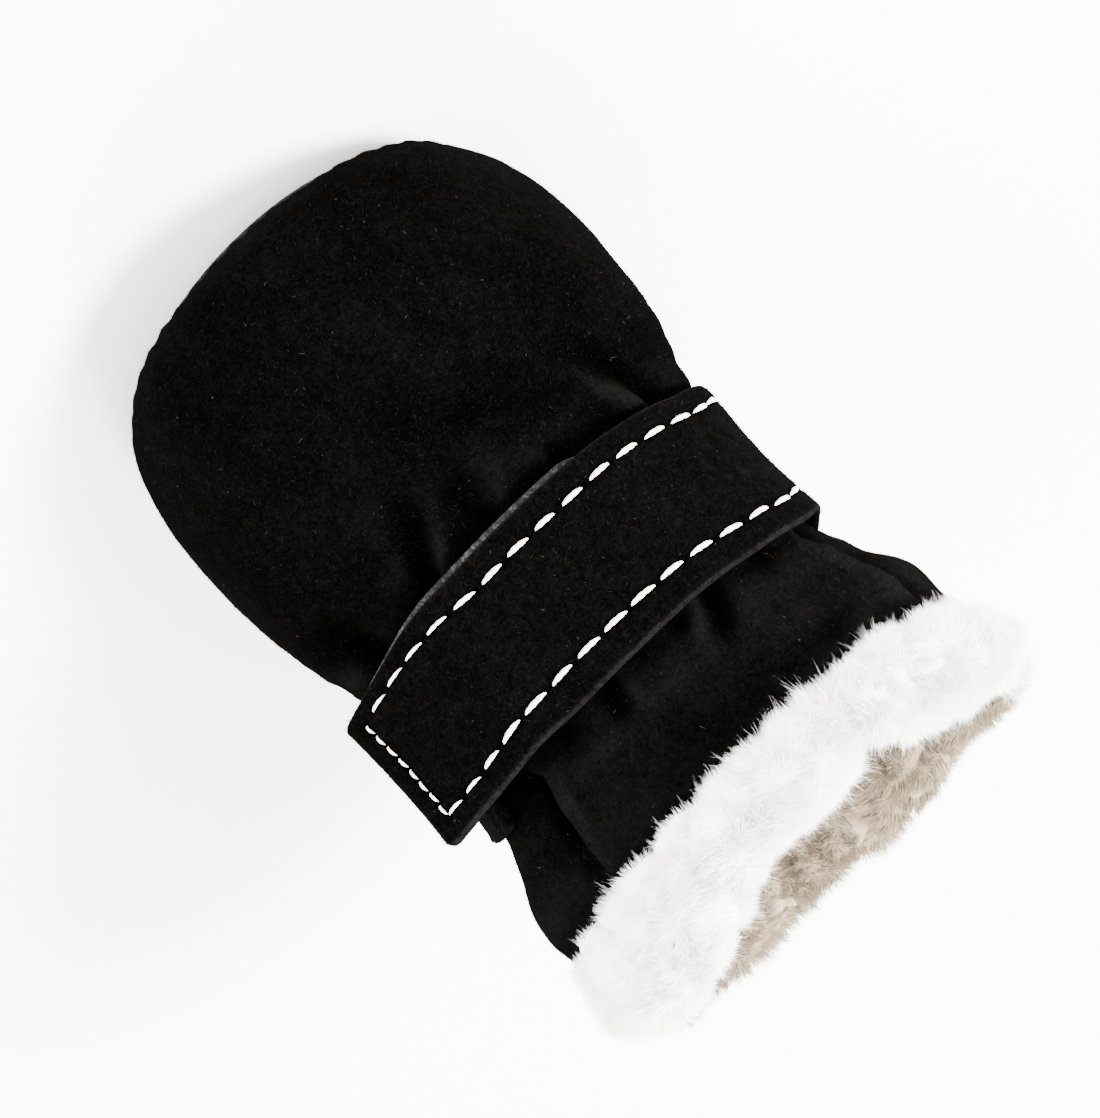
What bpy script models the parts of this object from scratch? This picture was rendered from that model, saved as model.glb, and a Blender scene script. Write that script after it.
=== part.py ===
"""A soft winter boot for a small dog's paw, standing empty.

The boot is a one-piece suede shell with a deep plush lining, open at the
collar and underneath.  A thin leatherette sole closes it, a plush footbed
lies inside, the lining turns out as a fat cuff at the collar, and an ankle
strap comes from the back round the -X side and ends square at the +X side,
over a short loop-faced tab.

Frame: +Z up, the sole's underside on z = 0, the toe towards -Y, the heel
towards +Y, the origin at the middle of the sole's underside.
Work is in millimetres and is turned into metres at the end.
"""
import bpy
import bmesh
import math
import numpy as np

# --------------------------------------------------------------------------
# driving dimensions, mm
# --------------------------------------------------------------------------
SEG = 48                # facets around
ORIGIN_Y = 31.0         # from the toe's tip to the origin

WALL = 4.5              # suede 1.0, backing 0.5 and plush pile 3.0
GAP = 0.3               # between pieces that touch

SOLE_T = 2.3            # leatherette with its foam
SOLE_LIP = 0.4          # how far the sole stands out past the turned seam
FOOTBED_T = 3.0         # plush footbed
TOE_SPRING = 3.0
TOE_BREAK = 12.0        # the toe spring starts here, from the toe's tip
HEEL_SPRING = 0.8
HEEL_BREAK = 52.0

STRAP_T = 2.2           # suede over hook tape
STRAP_ROOT = -165.0     # degrees round from the front, -X side
STRAP_LEAVE = 37.5      # here the free end leaves the shaft, straight
STRAP_END = 12.0        # length of that straight end
STRAP_TWIST = 12.0      # degrees that it turns, its toe-side edge outwards
TAB_T = 1.2
TAB_FRONT = 52.5
TAB_ROOT = 165.0

# Sections of the shell, from the seam at the sole to the top of the cuff.
# Each is an oval in a plane that holds the X axis: its front point (y, z) and
# its back point (y, z) in the middle plane, half its width, where along the
# chord it is widest, and how square its front and back halves are (2 is an
# ellipse).  The shaft leans back about 27 degrees, slack, and its collar dips
# towards the back.
SECTIONS = [
    # front y,z      back y,z     half w  widest  n front  n back
    (3.0, 2.6,       59.6, 2.6,   24.3,   0.42,   2.05,    2.35),   # 0 seam
    (1.0, 4.7,       61.2, 4.7,   26.0,   0.415,  2.05,    2.35),   # 1 welt
    (-0.1, 8.6,      62.0, 8.0,   26.7,   0.41,   2.05,    2.35),   # 2 bulge
    (0.7, 13.6,      61.6, 11.4,  26.7,   0.41,   2.05,    2.35),   # 3
    (3.3, 19.2,      60.7, 14.3,  26.5,   0.415,  2.05,    2.30),   # 4
    (7.8, 24.9,      59.8, 16.7,  26.1,   0.43,   2.10,    2.25),   # 5 vamp
    (14.0, 29.6,     59.0, 18.6,  25.2,   0.45,   2.15,    2.20),   # 6
    (21.3, 32.9,     58.5, 20.2,  23.8,   0.47,   2.25,    2.20),   # 7 throat
    (28.3, 36.2,     58.7, 22.4,  22.6,   0.49,   2.45,    2.20),   # 8 strap, lower edge
    (33.5, 44.8,     62.6, 31.1,  22.0,   0.50,   2.55,    2.20),   # 9 strap, middle
    (38.2, 54.1,     66.4, 38.2,  23.1,   0.50,   2.45,    2.20),   # 10 strap, upper edge
    (41.7, 61.2,     70.8, 43.6,  25.8,   0.50,   2.25,    2.15),   # 11
    (45.3, 68.3,     75.0, 48.6,  26.9,   0.50,   2.10,    2.10),   # 12 rim
    (49.8, 77.7,     79.6, 57.6,  27.4,   0.50,   2.05,    2.05),   # 13 top of the cuff
]
RIM = 12.0


# --------------------------------------------------------------------------
# the shell's surface
# --------------------------------------------------------------------------
def section(s):
    """The section's eight numbers at s, on smooth curves through SECTIONS."""
    t = np.asarray(SECTIONS, float)
    s = np.clip(np.asarray(s, float), 0.0, len(t) - 1.0)
    i = np.minimum(np.floor(s).astype(int), len(t) - 2)
    f = (s - i)[..., None]
    p1, p2 = t[i], t[i + 1]
    p0 = np.where((i > 0)[..., None], t[np.maximum(i - 1, 0)], 2 * p1 - p2)
    p3 = np.where((i < len(t) - 2)[..., None], t[np.minimum(i + 2, len(t) - 1)], 2 * p2 - p1)
    m1, m2 = (p2 - p0) / 2, (p3 - p1) / 2
    return ((2 * f**3 - 3 * f**2 + 1) * p1 + (f**3 - 2 * f**2 + f) * m1
            + (-2 * f**3 + 3 * f**2) * p2 + (f**3 - f**2) * m2)


def spring(y, z):
    """How far the sole and the shell's foot rise at the toe and the heel."""
    toe = TOE_SPRING * (np.clip(TOE_BREAK - y, 0, None) / (TOE_BREAK - 2.0)) ** 2
    heel = HEEL_SPRING * (np.clip(y - HEEL_BREAK, 0, None) / 8.0) ** 2
    k = np.clip((z - 5.0) / 12.0, 0, 1)
    return (toe + heel) * (1 - k * k * (3 - 2 * k))


def surface(s, a):
    """A point of the outer surface: s is the section, a the angle from the
    front in radians, + towards +X."""
    s, a = np.broadcast_arrays(np.asarray(s, float), np.asarray(a, float))
    fy, fz, by, bz, w, m, nf, nb = np.moveaxis(section(s), -1, 0)
    c, q = np.cos(a), np.sin(a)
    e = 2.0 / np.where(c >= 0, nf, nb)
    u = np.where(c >= 0, -m, 1 - m) * np.abs(c) ** e + m
    y = fy + (by - fy) * u
    z = fz + (bz - fz) * u
    x = w * np.sign(q) * np.abs(q) ** e
    return np.stack([x, y, z + spring(y, z)], -1)


def frame_at(s, a):
    """Point, outward normal, upward tangent and round-going tangent."""
    h = 1e-3
    s, a = np.broadcast_arrays(np.asarray(s, float), np.asarray(a, float))
    lo, hi = np.clip(s - h, 0, 13), np.clip(s + h, 0, 13)
    up = surface(hi, a) - surface(lo, a)
    ro = surface(s, a + 0.02) - surface(s, a - 0.02)
    n = np.cross(ro, up)
    unit = lambda v: v / np.linalg.norm(v, axis=-1, keepdims=True)
    return surface(s, a), unit(n), unit(up), unit(ro)


def offset(s, a, d):
    p, n, _, _ = frame_at(s, a)
    return p + n * np.asarray(d, float)[..., None]


ANGLES = np.radians(np.arange(SEG) * 360.0 / SEG)


def outline(d):
    """The seam's outline in plan, moved outward by d."""
    p = surface(0.0, ANGLES)[:, :2]
    t = np.roll(p, -1, 0) - np.roll(p, 1, 0)
    n = np.stack([t[:, 1], -t[:, 0]], -1)
    n /= np.linalg.norm(n, axis=1, keepdims=True)
    return p + n * d


def level(xy, z):
    """An outline laid at height z, with the spring of the toe and heel."""
    return np.column_stack([xy, z + spring(xy[:, 1], np.full(len(xy), z))])


# --------------------------------------------------------------------------
# meshes
# --------------------------------------------------------------------------
def add_object(name, verts, faces, colour, rough):
    bm = bmesh.new()
    made = [bm.verts.new(((x) / 1000, (y - ORIGIN_Y) / 1000, z / 1000)) for x, y, z in verts]
    for f in faces:
        bm.faces.new([made[i] for i in f])
    bmesh.ops.triangulate(bm, faces=[f for f in bm.faces if len(f.verts) > 3])
    bmesh.ops.recalc_face_normals(bm, faces=bm.faces)
    mesh = bpy.data.meshes.new(name)
    bm.to_mesh(mesh)
    bm.free()
    mesh.shade_smooth()
    mesh.set_sharp_from_angle(angle=math.radians(50))
    ob = bpy.data.objects.new(name, mesh)
    bpy.context.scene.collection.objects.link(ob)
    mat = bpy.data.materials.new(name)
    mat.use_nodes = True
    b = mat.node_tree.nodes["Principled BSDF"]
    b.inputs["Base Color"].default_value = (*colour, 1.0)
    b.inputs["Roughness"].default_value = rough
    b.inputs["Metallic"].default_value = 0.0
    mesh.materials.append(mat)
    return ob


def torus_faces(rows, cols):
    return [(r * cols + c, r * cols + (c + 1) % cols,
             ((r + 1) % rows) * cols + (c + 1) % cols, ((r + 1) % rows) * cols + c)
            for r in range(rows) for c in range(cols)]


def band_faces(loops, k):
    """Sections of k points one after another, closed with a cap at each end.
    Points 0..k/2-1 are the inner side from low to high, the rest the outer
    side from high to low."""
    f = [(i * k + j, i * k + (j + 1) % k, (i + 1) * k + (j + 1) % k, (i + 1) * k + j)
         for i in range(loops - 1) for j in range(k)]
    for base in (0, (loops - 1) * k):
        for j in range(k // 2 - 1):
            f.append((base + j, base + j + 1, base + k - 2 - j, base + k - 1 - j))
    return f


def pad_faces(rings, cols):
    """Rings from the underside's middle out, up the edge and in again, with a
    point at each middle.  Vertex 0 is the lower middle, the last the upper."""
    f = [(0, 1 + (c + 1) % cols, 1 + c) for c in range(cols)]
    for r in range(rings - 1):
        a, b = 1 + r * cols, 1 + (r + 1) * cols
        f += [(a + c, a + (c + 1) % cols, b + (c + 1) % cols, b + c) for c in range(cols)]
    last, top = 1 + (rings - 1) * cols, 1 + rings * cols
    f += [(last + c, last + (c + 1) % cols, top) for c in range(cols)]
    return f


def pad(name, edge, z0, z1, chamfer, colour, rough):
    """A thin pad of outline edge from z0 to z1, with its edge broken."""
    mid = np.array([0.0, ORIGIN_Y])
    inner = [mid + (edge - mid) * k for k in (0.36, 0.68, 0.84)]
    inset = mid + (edge - mid) * (1 - chamfer / 25.0)
    rings = [level(r, z0) for r in inner + [inset]]
    rings += [level(edge, z0 + chamfer), level(edge, z1 - chamfer)]
    rings += [level(r, z1) for r in [inset] + inner[::-1]]
    verts = [(0.0, ORIGIN_Y, z0)] + [tuple(p) for r in rings for p in r] + [(0.0, ORIGIN_Y, z1)]
    add_object(name, verts, pad_faces(len(rings), SEG), colour, rough)


def build_upper():
    rows = [surface(s, ANGLES) for s in np.arange(0, RIM + 0.01, 0.5)]
    for s in np.arange(RIM, 1.9, -1.0):
        rows.append(offset(np.full(SEG, s), ANGLES, np.full(SEG, -WALL)))
    rows.append(level(outline(-3.0), SOLE_T + GAP))
    verts = np.concatenate(rows)
    add_object("upper", verts, torus_faces(len(rows), SEG), (0.012, 0.012, 0.014), 0.9)


def build_cuff():
    """The lining turned out: a fat plush roll on the rim."""
    p, n, t, _ = frame_at(np.full(SEG, RIM), ANGLES)
    roll = [(-5.7, GAP), (0.8, GAP), (1.8, 1.5), (2.2, 4.3), (1.5, 7.2), (-0.5, 9.1),
            (-2.9, 9.4), (-5.1, 8.2), (-6.5, 5.4), (-6.6, 2.0)]
    rows = [p + n * r + t * a for r, a in roll]
    add_object("fur_cuff", np.concatenate(rows), torus_faces(len(rows), SEG), (0.87, 0.85, 0.81), 0.95)


def strap_rows(deg):
    """The sections at the strap's toe-side and collar-side edges.  The strap
    sits lower at the sides and behind than at the front."""
    k = np.clip((abs(deg) - 55.0) / 50.0, 0, 1)
    k = k * k * (3 - 2 * k)
    return 8.05 - 0.45 * k, 10.05 - 0.39 * k


def strap_lift(deg):
    """How far the strap's inner side stands off the shaft, to clear the tab."""
    k = np.clip((deg - 15.0) / (30.0 - 15.0), 0, 1)
    return GAP + (TAB_T + 2 * GAP + 0.1 - GAP) * k * k * (3 - 2 * k)


def build_strap():
    step = 360.0 / SEG
    loops = []
    for deg in np.arange(STRAP_ROOT, STRAP_LEAVE + 0.01, step):
        ss = np.linspace(*strap_rows(deg), 5)
        a = np.full(len(ss), math.radians(deg))
        d = np.full(len(ss), float(strap_lift(deg)))
        loops.append(np.concatenate([offset(ss, a, d), offset(ss, a, d + STRAP_T)[::-1]]))
    _, _, _, ro = frame_at(ss, np.full(len(ss), math.radians(STRAP_LEAVE)))
    run = ro.mean(0) / np.linalg.norm(ro.mean(0))
    last = loops[-1]
    mid = last.mean(0)
    for k in (1, 2, 3, 4):
        w = math.radians(STRAP_TWIST * k / 4)
        q = last - mid
        turned = (q * math.cos(w) + np.cross(run, q) * math.sin(w)
                  + run * (q @ run)[:, None] * (1 - math.cos(w)))
        loops.append(mid + turned + run * STRAP_END * k / 4)
    add_object("strap", np.concatenate(loops), band_faces(len(loops), 2 * len(ss)), (0.012, 0.012, 0.014), 0.9)


def build_tab():
    loops = []
    for deg in np.arange(TAB_FRONT, TAB_ROOT + 0.01, 360.0 / SEG):
        low, high = strap_rows(deg)
        ss = np.linspace(low, high, 6)
        a = np.full(len(ss), math.radians(deg))
        d = np.full(len(ss), GAP)
        loops.append(np.concatenate([offset(ss, a, d), offset(ss, a, d + TAB_T)[::-1]]))
    add_object("loop_tab", np.concatenate(loops), band_faces(len(loops), 2 * len(ss)), (0.02, 0.02, 0.022), 0.8)


def main():
    for ob in list(bpy.data.objects):
        bpy.data.objects.remove(ob, do_unlink=True)
    pad("outsole", outline(SOLE_LIP), 0.0, SOLE_T, 0.6, (0.02, 0.02, 0.02), 0.6)
    pad("insole", outline(-3.0 - GAP - 0.1), SOLE_T + GAP, SOLE_T + GAP + FOOTBED_T, 0.8, (0.8, 0.77, 0.72), 0.95)
    build_upper()
    build_cuff()
    build_strap()
    build_tab()


main()
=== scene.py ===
"""Looks for a soft plush-lined dog boot: suede, plush, stitching, sole.
Works in millimetres from the toe's tip and is turned into metres, with the
origin in the middle of the sole's underside, when each mesh is made."""
import math
import bpy
import numpy as np
from mathutils import Vector, Matrix


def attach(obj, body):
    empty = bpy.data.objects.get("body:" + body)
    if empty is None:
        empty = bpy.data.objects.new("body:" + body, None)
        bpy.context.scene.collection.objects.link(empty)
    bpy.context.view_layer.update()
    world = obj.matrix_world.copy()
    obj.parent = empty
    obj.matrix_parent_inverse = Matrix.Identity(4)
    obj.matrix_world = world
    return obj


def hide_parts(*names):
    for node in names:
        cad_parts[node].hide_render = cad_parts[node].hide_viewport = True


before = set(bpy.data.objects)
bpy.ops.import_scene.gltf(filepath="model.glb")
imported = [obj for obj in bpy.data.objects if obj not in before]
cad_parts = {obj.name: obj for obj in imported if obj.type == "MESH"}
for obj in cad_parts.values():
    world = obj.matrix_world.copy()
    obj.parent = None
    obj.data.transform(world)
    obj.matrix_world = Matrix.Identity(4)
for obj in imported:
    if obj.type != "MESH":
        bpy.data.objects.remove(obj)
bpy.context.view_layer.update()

# --------------------------------------------------------------------------
# sizes, mm
# --------------------------------------------------------------------------
ORIGIN_Y = 31.0
WALL = 4.5
GAP = 0.3
SOLE_T = 2.3
SOLE_LIP = 0.4
FOOTBED_T = 3.0
TOE_SPRING, TOE_BREAK = 3.0, 12.0
HEEL_SPRING, HEEL_BREAK = 0.8, 52.0
STRAP_ROOT, STRAP_LEAVE, STRAP_END = -165.0, 37.5, 12.0
STRAP_W = 20.2
STRAP_TWIST, STRAP_SLANT = 12.0, 0.12
TAB_FRONT, TAB_ROOT = 52.5, 165.0
VIEW_EL = math.radians(48.0)
TIP_V = 4.78            # the toe's lowest point in the slanted front view

SECTIONS = np.array([
    (3.0, 2.6, 59.6, 2.6, 24.3, 0.42, 2.05, 2.35),
    (1.0, 4.7, 61.2, 4.7, 26.0, 0.415, 2.05, 2.35),
    (-0.1, 8.6, 62.0, 8.0, 26.7, 0.41, 2.05, 2.35),
    (0.7, 13.6, 61.6, 11.4, 26.7, 0.41, 2.05, 2.35),
    (3.3, 19.2, 60.7, 14.3, 26.5, 0.415, 2.05, 2.30),
    (7.8, 24.9, 59.8, 16.7, 26.1, 0.43, 2.10, 2.25),
    (14.0, 29.6, 59.0, 18.6, 25.2, 0.45, 2.15, 2.20),
    (21.3, 32.9, 58.5, 20.2, 23.8, 0.47, 2.25, 2.20),
    (28.3, 36.2, 58.7, 22.4, 22.6, 0.49, 2.45, 2.20),
    (33.5, 44.8, 62.6, 31.1, 22.0, 0.50, 2.55, 2.20),
    (38.2, 54.1, 66.4, 38.2, 23.1, 0.50, 2.45, 2.20),
    (41.7, 61.2, 70.8, 43.6, 25.8, 0.50, 2.25, 2.15),
    (45.3, 68.3, 75.0, 48.6, 26.9, 0.50, 2.10, 2.10),
    (49.8, 77.7, 79.6, 57.6, 27.4, 0.50, 2.05, 2.05),
])
RIM = 12.0
rng = np.random.default_rng(20)


# --------------------------------------------------------------------------
# noise, in mm
# --------------------------------------------------------------------------
def _hash(i, seed):
    i = i.astype(np.int64)
    h = (i[..., 0] * 374761393 + i[..., 1] * 668265263 + i[..., 2] * 1440662683 + seed * 974634777) & 0xFFFFFFFF
    h = ((h ^ (h >> 13)) * 1274126177) & 0xFFFFFFFF
    h = ((h ^ (h >> 15)) * 2246822519) & 0xFFFFFFFF
    return (h ^ (h >> 16)) / 4294967295.0


def noise(p, size, seed=0):
    """Smooth value noise from -1 to 1."""
    q = np.asarray(p, float) / size
    i = np.floor(q)
    f = q - i
    f = f * f * f * (f * (f * 6 - 15) + 10)
    out = 0.0
    for dx in (0, 1):
        for dy in (0, 1):
            for dz in (0, 1):
                w = (f[..., 0] if dx else 1 - f[..., 0]) * (f[..., 1] if dy else 1 - f[..., 1]) * (f[..., 2] if dz else 1 - f[..., 2])
                out = out + w * _hash(i + np.array([dx, dy, dz]), seed)
    return out * 2 - 1


def cells(p, size, seed=0):
    """Distance to the nearest and the second nearest scattered point, over size."""
    q = np.asarray(p, float) / size
    i = np.floor(q)
    best = np.full(q.shape[:-1], 9.0)
    second = best.copy()
    for dx in (-1, 0, 1):
        for dy in (-1, 0, 1):
            for dz in (-1, 0, 1):
                c = i + np.array([dx, dy, dz])
                pt = c + np.stack([_hash(c, seed), _hash(c, seed + 5), _hash(c, seed + 9)], -1)
                d = np.linalg.norm(pt - q, axis=-1)
                second = np.minimum(second, np.maximum(d, best))
                best = np.minimum(best, d)
    return best, second


def nearest(p, size, seed=0):
    """The nearest scattered point, in mm."""
    q = np.asarray(p, float) / size
    i = np.floor(q)
    best = np.full(q.shape[:-1], 9.0)
    out = np.zeros(q.shape)
    for dx in (-1, 0, 1):
        for dy in (-1, 0, 1):
            for dz in (-1, 0, 1):
                c = i + np.array([dx, dy, dz])
                pt = c + np.stack([_hash(c, seed), _hash(c, seed + 5), _hash(c, seed + 9)], -1)
                d = np.linalg.norm(pt - q, axis=-1)
                m = d < best
                best = np.where(m, d, best)
                out[m] = pt[m]
    return out * size


def step(x):
    x = np.clip(x, 0, 1)
    return x * x * (3 - 2 * x)


# --------------------------------------------------------------------------
# the shell's surface, as in the CAD model
# --------------------------------------------------------------------------
def section(s):
    t = SECTIONS
    s = np.clip(np.asarray(s, float), 0.0, len(t) - 1.0)
    i = np.minimum(np.floor(s).astype(int), len(t) - 2)
    f = (s - i)[..., None]
    p1, p2 = t[i], t[i + 1]
    p0 = np.where((i > 0)[..., None], t[np.maximum(i - 1, 0)], 2 * p1 - p2)
    p3 = np.where((i < len(t) - 2)[..., None], t[np.minimum(i + 2, len(t) - 1)], 2 * p2 - p1)
    m1, m2 = (p2 - p0) / 2, (p3 - p1) / 2
    return ((2 * f**3 - 3 * f**2 + 1) * p1 + (f**3 - 2 * f**2 + f) * m1
            + (-2 * f**3 + 3 * f**2) * p2 + (f**3 - f**2) * m2)


def spring(y, z):
    toe = TOE_SPRING * (np.clip(TOE_BREAK - y, 0, None) / (TOE_BREAK - 2.0)) ** 2
    heel = HEEL_SPRING * (np.clip(y - HEEL_BREAK, 0, None) / 8.0) ** 2
    k = np.clip((z - 5.0) / 12.0, 0, 1)
    return (toe + heel) * (1 - k * k * (3 - 2 * k))


def surface(s, a):
    s, a = np.broadcast_arrays(np.asarray(s, float), np.asarray(a, float))
    fy, fz, by, bz, w, m, nf, nb = np.moveaxis(section(s), -1, 0)
    c, q = np.cos(a), np.sin(a)
    e = 2.0 / np.where(c >= 0, nf, nb)
    u = np.where(c >= 0, -m, 1 - m) * np.abs(c) ** e + m
    y = fy + (by - fy) * u
    z = fz + (bz - fz) * u
    x = w * np.sign(q) * np.abs(q) ** e
    return np.stack([x, y, z + spring(y, z)], -1)


def unit(v):
    return v / np.maximum(np.linalg.norm(v, axis=-1, keepdims=True), 1e-12)


def frame_at(s, a):
    h = 2e-3
    s, a = np.broadcast_arrays(np.asarray(s, float), np.asarray(a, float))
    up = surface(np.clip(s + h, 0, 13), a) - surface(np.clip(s - h, 0, 13), a)
    ro = surface(s, a + 0.02) - surface(s, a - 0.02)
    return surface(s, a), unit(np.cross(ro, up)), unit(up), unit(ro)


def outline(d, angles):
    p = surface(0.0, angles)[:, :2]
    t = np.roll(p, -1, 0) - np.roll(p, 1, 0)
    n = np.stack([t[:, 1], -t[:, 0]], -1)
    n /= np.linalg.norm(n, axis=1, keepdims=True)
    return p + n * np.asarray(d)[..., None]


def level(xy, z):
    z = np.broadcast_to(np.asarray(z, float), xy.shape[:-1])
    return np.concatenate([xy, (z + spring(xy[..., 1], z))[..., None]], -1)


def even_angles(n, s=6.0):
    """n angles that are evenly spaced along the section at s."""
    a = np.linspace(-math.pi, math.pi, 4001)
    p = surface(np.full(len(a), s), a)
    d = np.concatenate([[0], np.cumsum(np.linalg.norm(np.diff(p, axis=0), axis=1))])
    return np.interp(np.linspace(0, d[-1], n, endpoint=False), d, a)


def even_rows(n, lo, hi):
    """n sections evenly spaced up the front and sides."""
    s = np.linspace(lo, hi, 600)
    a = np.radians([0, 60, -60, 120, -120])
    p = surface(s[:, None], a[None, :])
    d = np.linalg.norm(np.diff(p, axis=0), axis=2).mean(1)
    d = np.concatenate([[0], np.cumsum(d)])
    return np.interp(np.linspace(0, d[-1], n), d, s)


def strap_rows(deg):
    k = step((np.abs(deg) - 55.0) / 50.0)
    return 8.05 - 0.45 * k, 10.05 - 0.39 * k


def slant(p):
    """Where a point lies in the slanted front view: across and up, mm."""
    return p[..., 0], p[..., 1] * math.sin(VIEW_EL) + p[..., 2] * math.cos(VIEW_EL) - TIP_V


# --------------------------------------------------------------------------
# meshes
# --------------------------------------------------------------------------
def make(name, verts, faces, mat, smooth=True, attrs=None):
    faces = np.asarray(faces, np.int32)
    k = faces.shape[1]
    v = np.asarray(verts, float).copy()
    v[:, 1] -= ORIGIN_Y
    v /= 1000.0
    me = bpy.data.meshes.new(name)
    me.vertices.add(len(v))
    me.vertices.foreach_set("co", v.astype(np.float32).ravel())
    me.loops.add(faces.size)
    me.loops.foreach_set("vertex_index", faces.ravel())
    me.polygons.add(len(faces))
    me.polygons.foreach_set("loop_start", np.arange(0, faces.size, k, dtype=np.int32))
    me.update(calc_edges=True)
    me.validate()
    if smooth:
        me.shade_smooth()
    for key, val in (attrs or {}).items():
        at = me.attributes.new(key, "FLOAT", "POINT")
        at.data.foreach_set("value", np.asarray(val, np.float32).ravel())
    me.materials.append(mat)
    ob = bpy.data.objects.new(name, me)
    bpy.context.scene.collection.objects.link(ob)
    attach(ob, "root")
    return ob


def torus(rows, cols):
    r = np.arange(rows)[:, None]
    c = np.arange(cols)[None, :]
    r2, c2 = (r + 1) % rows, (c + 1) % cols
    f = np.stack(np.broadcast_arrays(r * cols + c, r * cols + c2, r2 * cols + c2, r2 * cols + c), -1)
    return f.reshape(-1, 4)


def flip(f):
    return np.asarray(f)[:, ::-1]


def grid_normals(p, wrap_rows=False, wrap_cols=True):
    """Normals of a grid of points, rows going up and columns going round."""
    def diff(a, axis, wrap):
        if wrap:
            return np.roll(a, -1, axis) - np.roll(a, 1, axis)
        return np.gradient(a, axis=axis)
    du = diff(p, 1, wrap_cols)
    dv = diff(p, 0, wrap_rows)
    return unit(np.cross(du, dv))


def polyline(x, v, pts):
    """Signed distance to a polyline, and how far along it the nearest point is, 0 to 1."""
    pts = np.asarray(pts, float)
    seg = np.linalg.norm(np.diff(pts, axis=0), axis=1)
    cum = np.concatenate([[0], np.cumsum(seg)])
    best = np.full(x.shape, 1e9)
    side = np.ones(x.shape)
    along = np.zeros(x.shape)
    for k in range(len(pts) - 1):
        a, b = pts[k], pts[k + 1]
        d = b - a
        t = np.clip(((x - a[0]) * d[0] + (v - a[1]) * d[1]) / (d @ d), 0, 1)
        dx, dv = x - a[0] - t * d[0], v - a[1] - t * d[1]
        r = np.hypot(dx, dv)
        m = r < best
        best = np.where(m, r, best)
        side = np.where(m, np.sign(d[0] * dv - d[1] * dx), side)
        along = np.where(m, (cum[k] + t * seg[k]) / cum[-1], along)
    return best, side, along


def curve_through(pts, n=24):
    """A smooth curve through a few points."""
    p = np.asarray(pts, float)
    q = np.concatenate([[2 * p[0] - p[1]], p, [2 * p[-1] - p[-2]]])
    out = []
    for i in range(1, len(q) - 2):
        for f in np.linspace(0, 1, n, endpoint=False):
            out.append(0.5 * ((2 * q[i]) + (-q[i - 1] + q[i + 1]) * f + (2 * q[i - 1] - 5 * q[i] + 4 * q[i + 1] - q[i + 2]) * f**2
                              + (-q[i - 1] + 3 * q[i] - 3 * q[i + 1] + q[i + 2]) * f**3))
    out.append(p[-1])
    return np.array(out)


# Main creases, in mm across and up the slanted front view:
# points, half width, depth, ridge height, side of the ridge, fade at the end
CREASES = [
    # below the strap: gathers that run out over the toe
    ([(-20.2, 46.0), (-19.5, 41.0), (-18.4, 36.5), (-16.4, 29.0)], 1.2, 1.7, 1.3, 1),
    ([(-13.6, 45.0), (-13.4, 41.0), (-12.2, 37.0)], 1.0, 0.35, 0.15, 1),
    ([(-8.6, 44.0), (-8.5, 40.0), (-7.4, 35.0)], 0.8, 0.7, 0.45, 1),
    ([(1.8, 44.0), (1.9, 39.0), (0.8, 31.0), (-2.4, 25.0)], 1.8, 0.65, 0.35, -1),
    ([(5.4, 44.0), (5.0, 40.5), (3.8, 37.0)], 0.8, 0.6, 0.25, -1),
    ([(10.8, 44.0), (10.3, 40.0), (8.6, 35.5), (4.6, 28.0)], 1.2, 1.5, 0.8, -1),
    ([(19.0, 46.0), (19.7, 41.5), (21.2, 37.5), (24.4, 33.0)], 1.4, 2.0, 0.6, 1),
    ([(-3.0, 30.0), (5.0, 24.0), (9.0, 16.0)], 4.0, 0.5, 0.3, 1),
    # above the strap: gathers that run up the shaft
    ([(-15.8, 58.5), (-16.0, 62.0), (-17.2, 65.0)], 1.3, 0.7, 0.3, 1),
    ([(-9.8, 57.5), (-9.0, 61.5), (-6.6, 67.0)], 1.1, 1.8, 0.9, -1),
    ([(-4.6, 57.5), (-5.2, 60.5), (-6.4, 62.5)], 0.8, 0.6, 0.3, 1),
    ([(4.4, 57.5), (5.0, 61.5), (6.8, 65.0)], 1.0, 1.3, 0.7, 1),
    ([(11.8, 58.0), (11.2, 61.0), (9.4, 64.0)], 1.4, 0.6, 0.4, 1),
    # the soft line across the shaft under the cuff
    ([(-16.0, 71.8), (-4.0, 70.2), (10.0, 70.8)], 2.4, 0.4, 0.25, 1),
]
# side seams: section and angle in degrees, from the collar to the sole
SEAM_RIGHT = [(12.3, 41.5), (11.3, 39.2), (10.2, 37.6), (9.0, 62.0), (7.8, 92.0), (6.5, 98.0), (4.5, 101.0), (2.5, 102.0), (0.0, 104.0)]
SEAM_LEFT = [(12.3, -65.0), (11.3, -61.0), (10.2, -56.5), (9.0, -72.0), (7.8, -94.0), (6.5, -99.0), (4.5, -101.0), (2.5, -102.0), (0.0, -104.0)]


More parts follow.
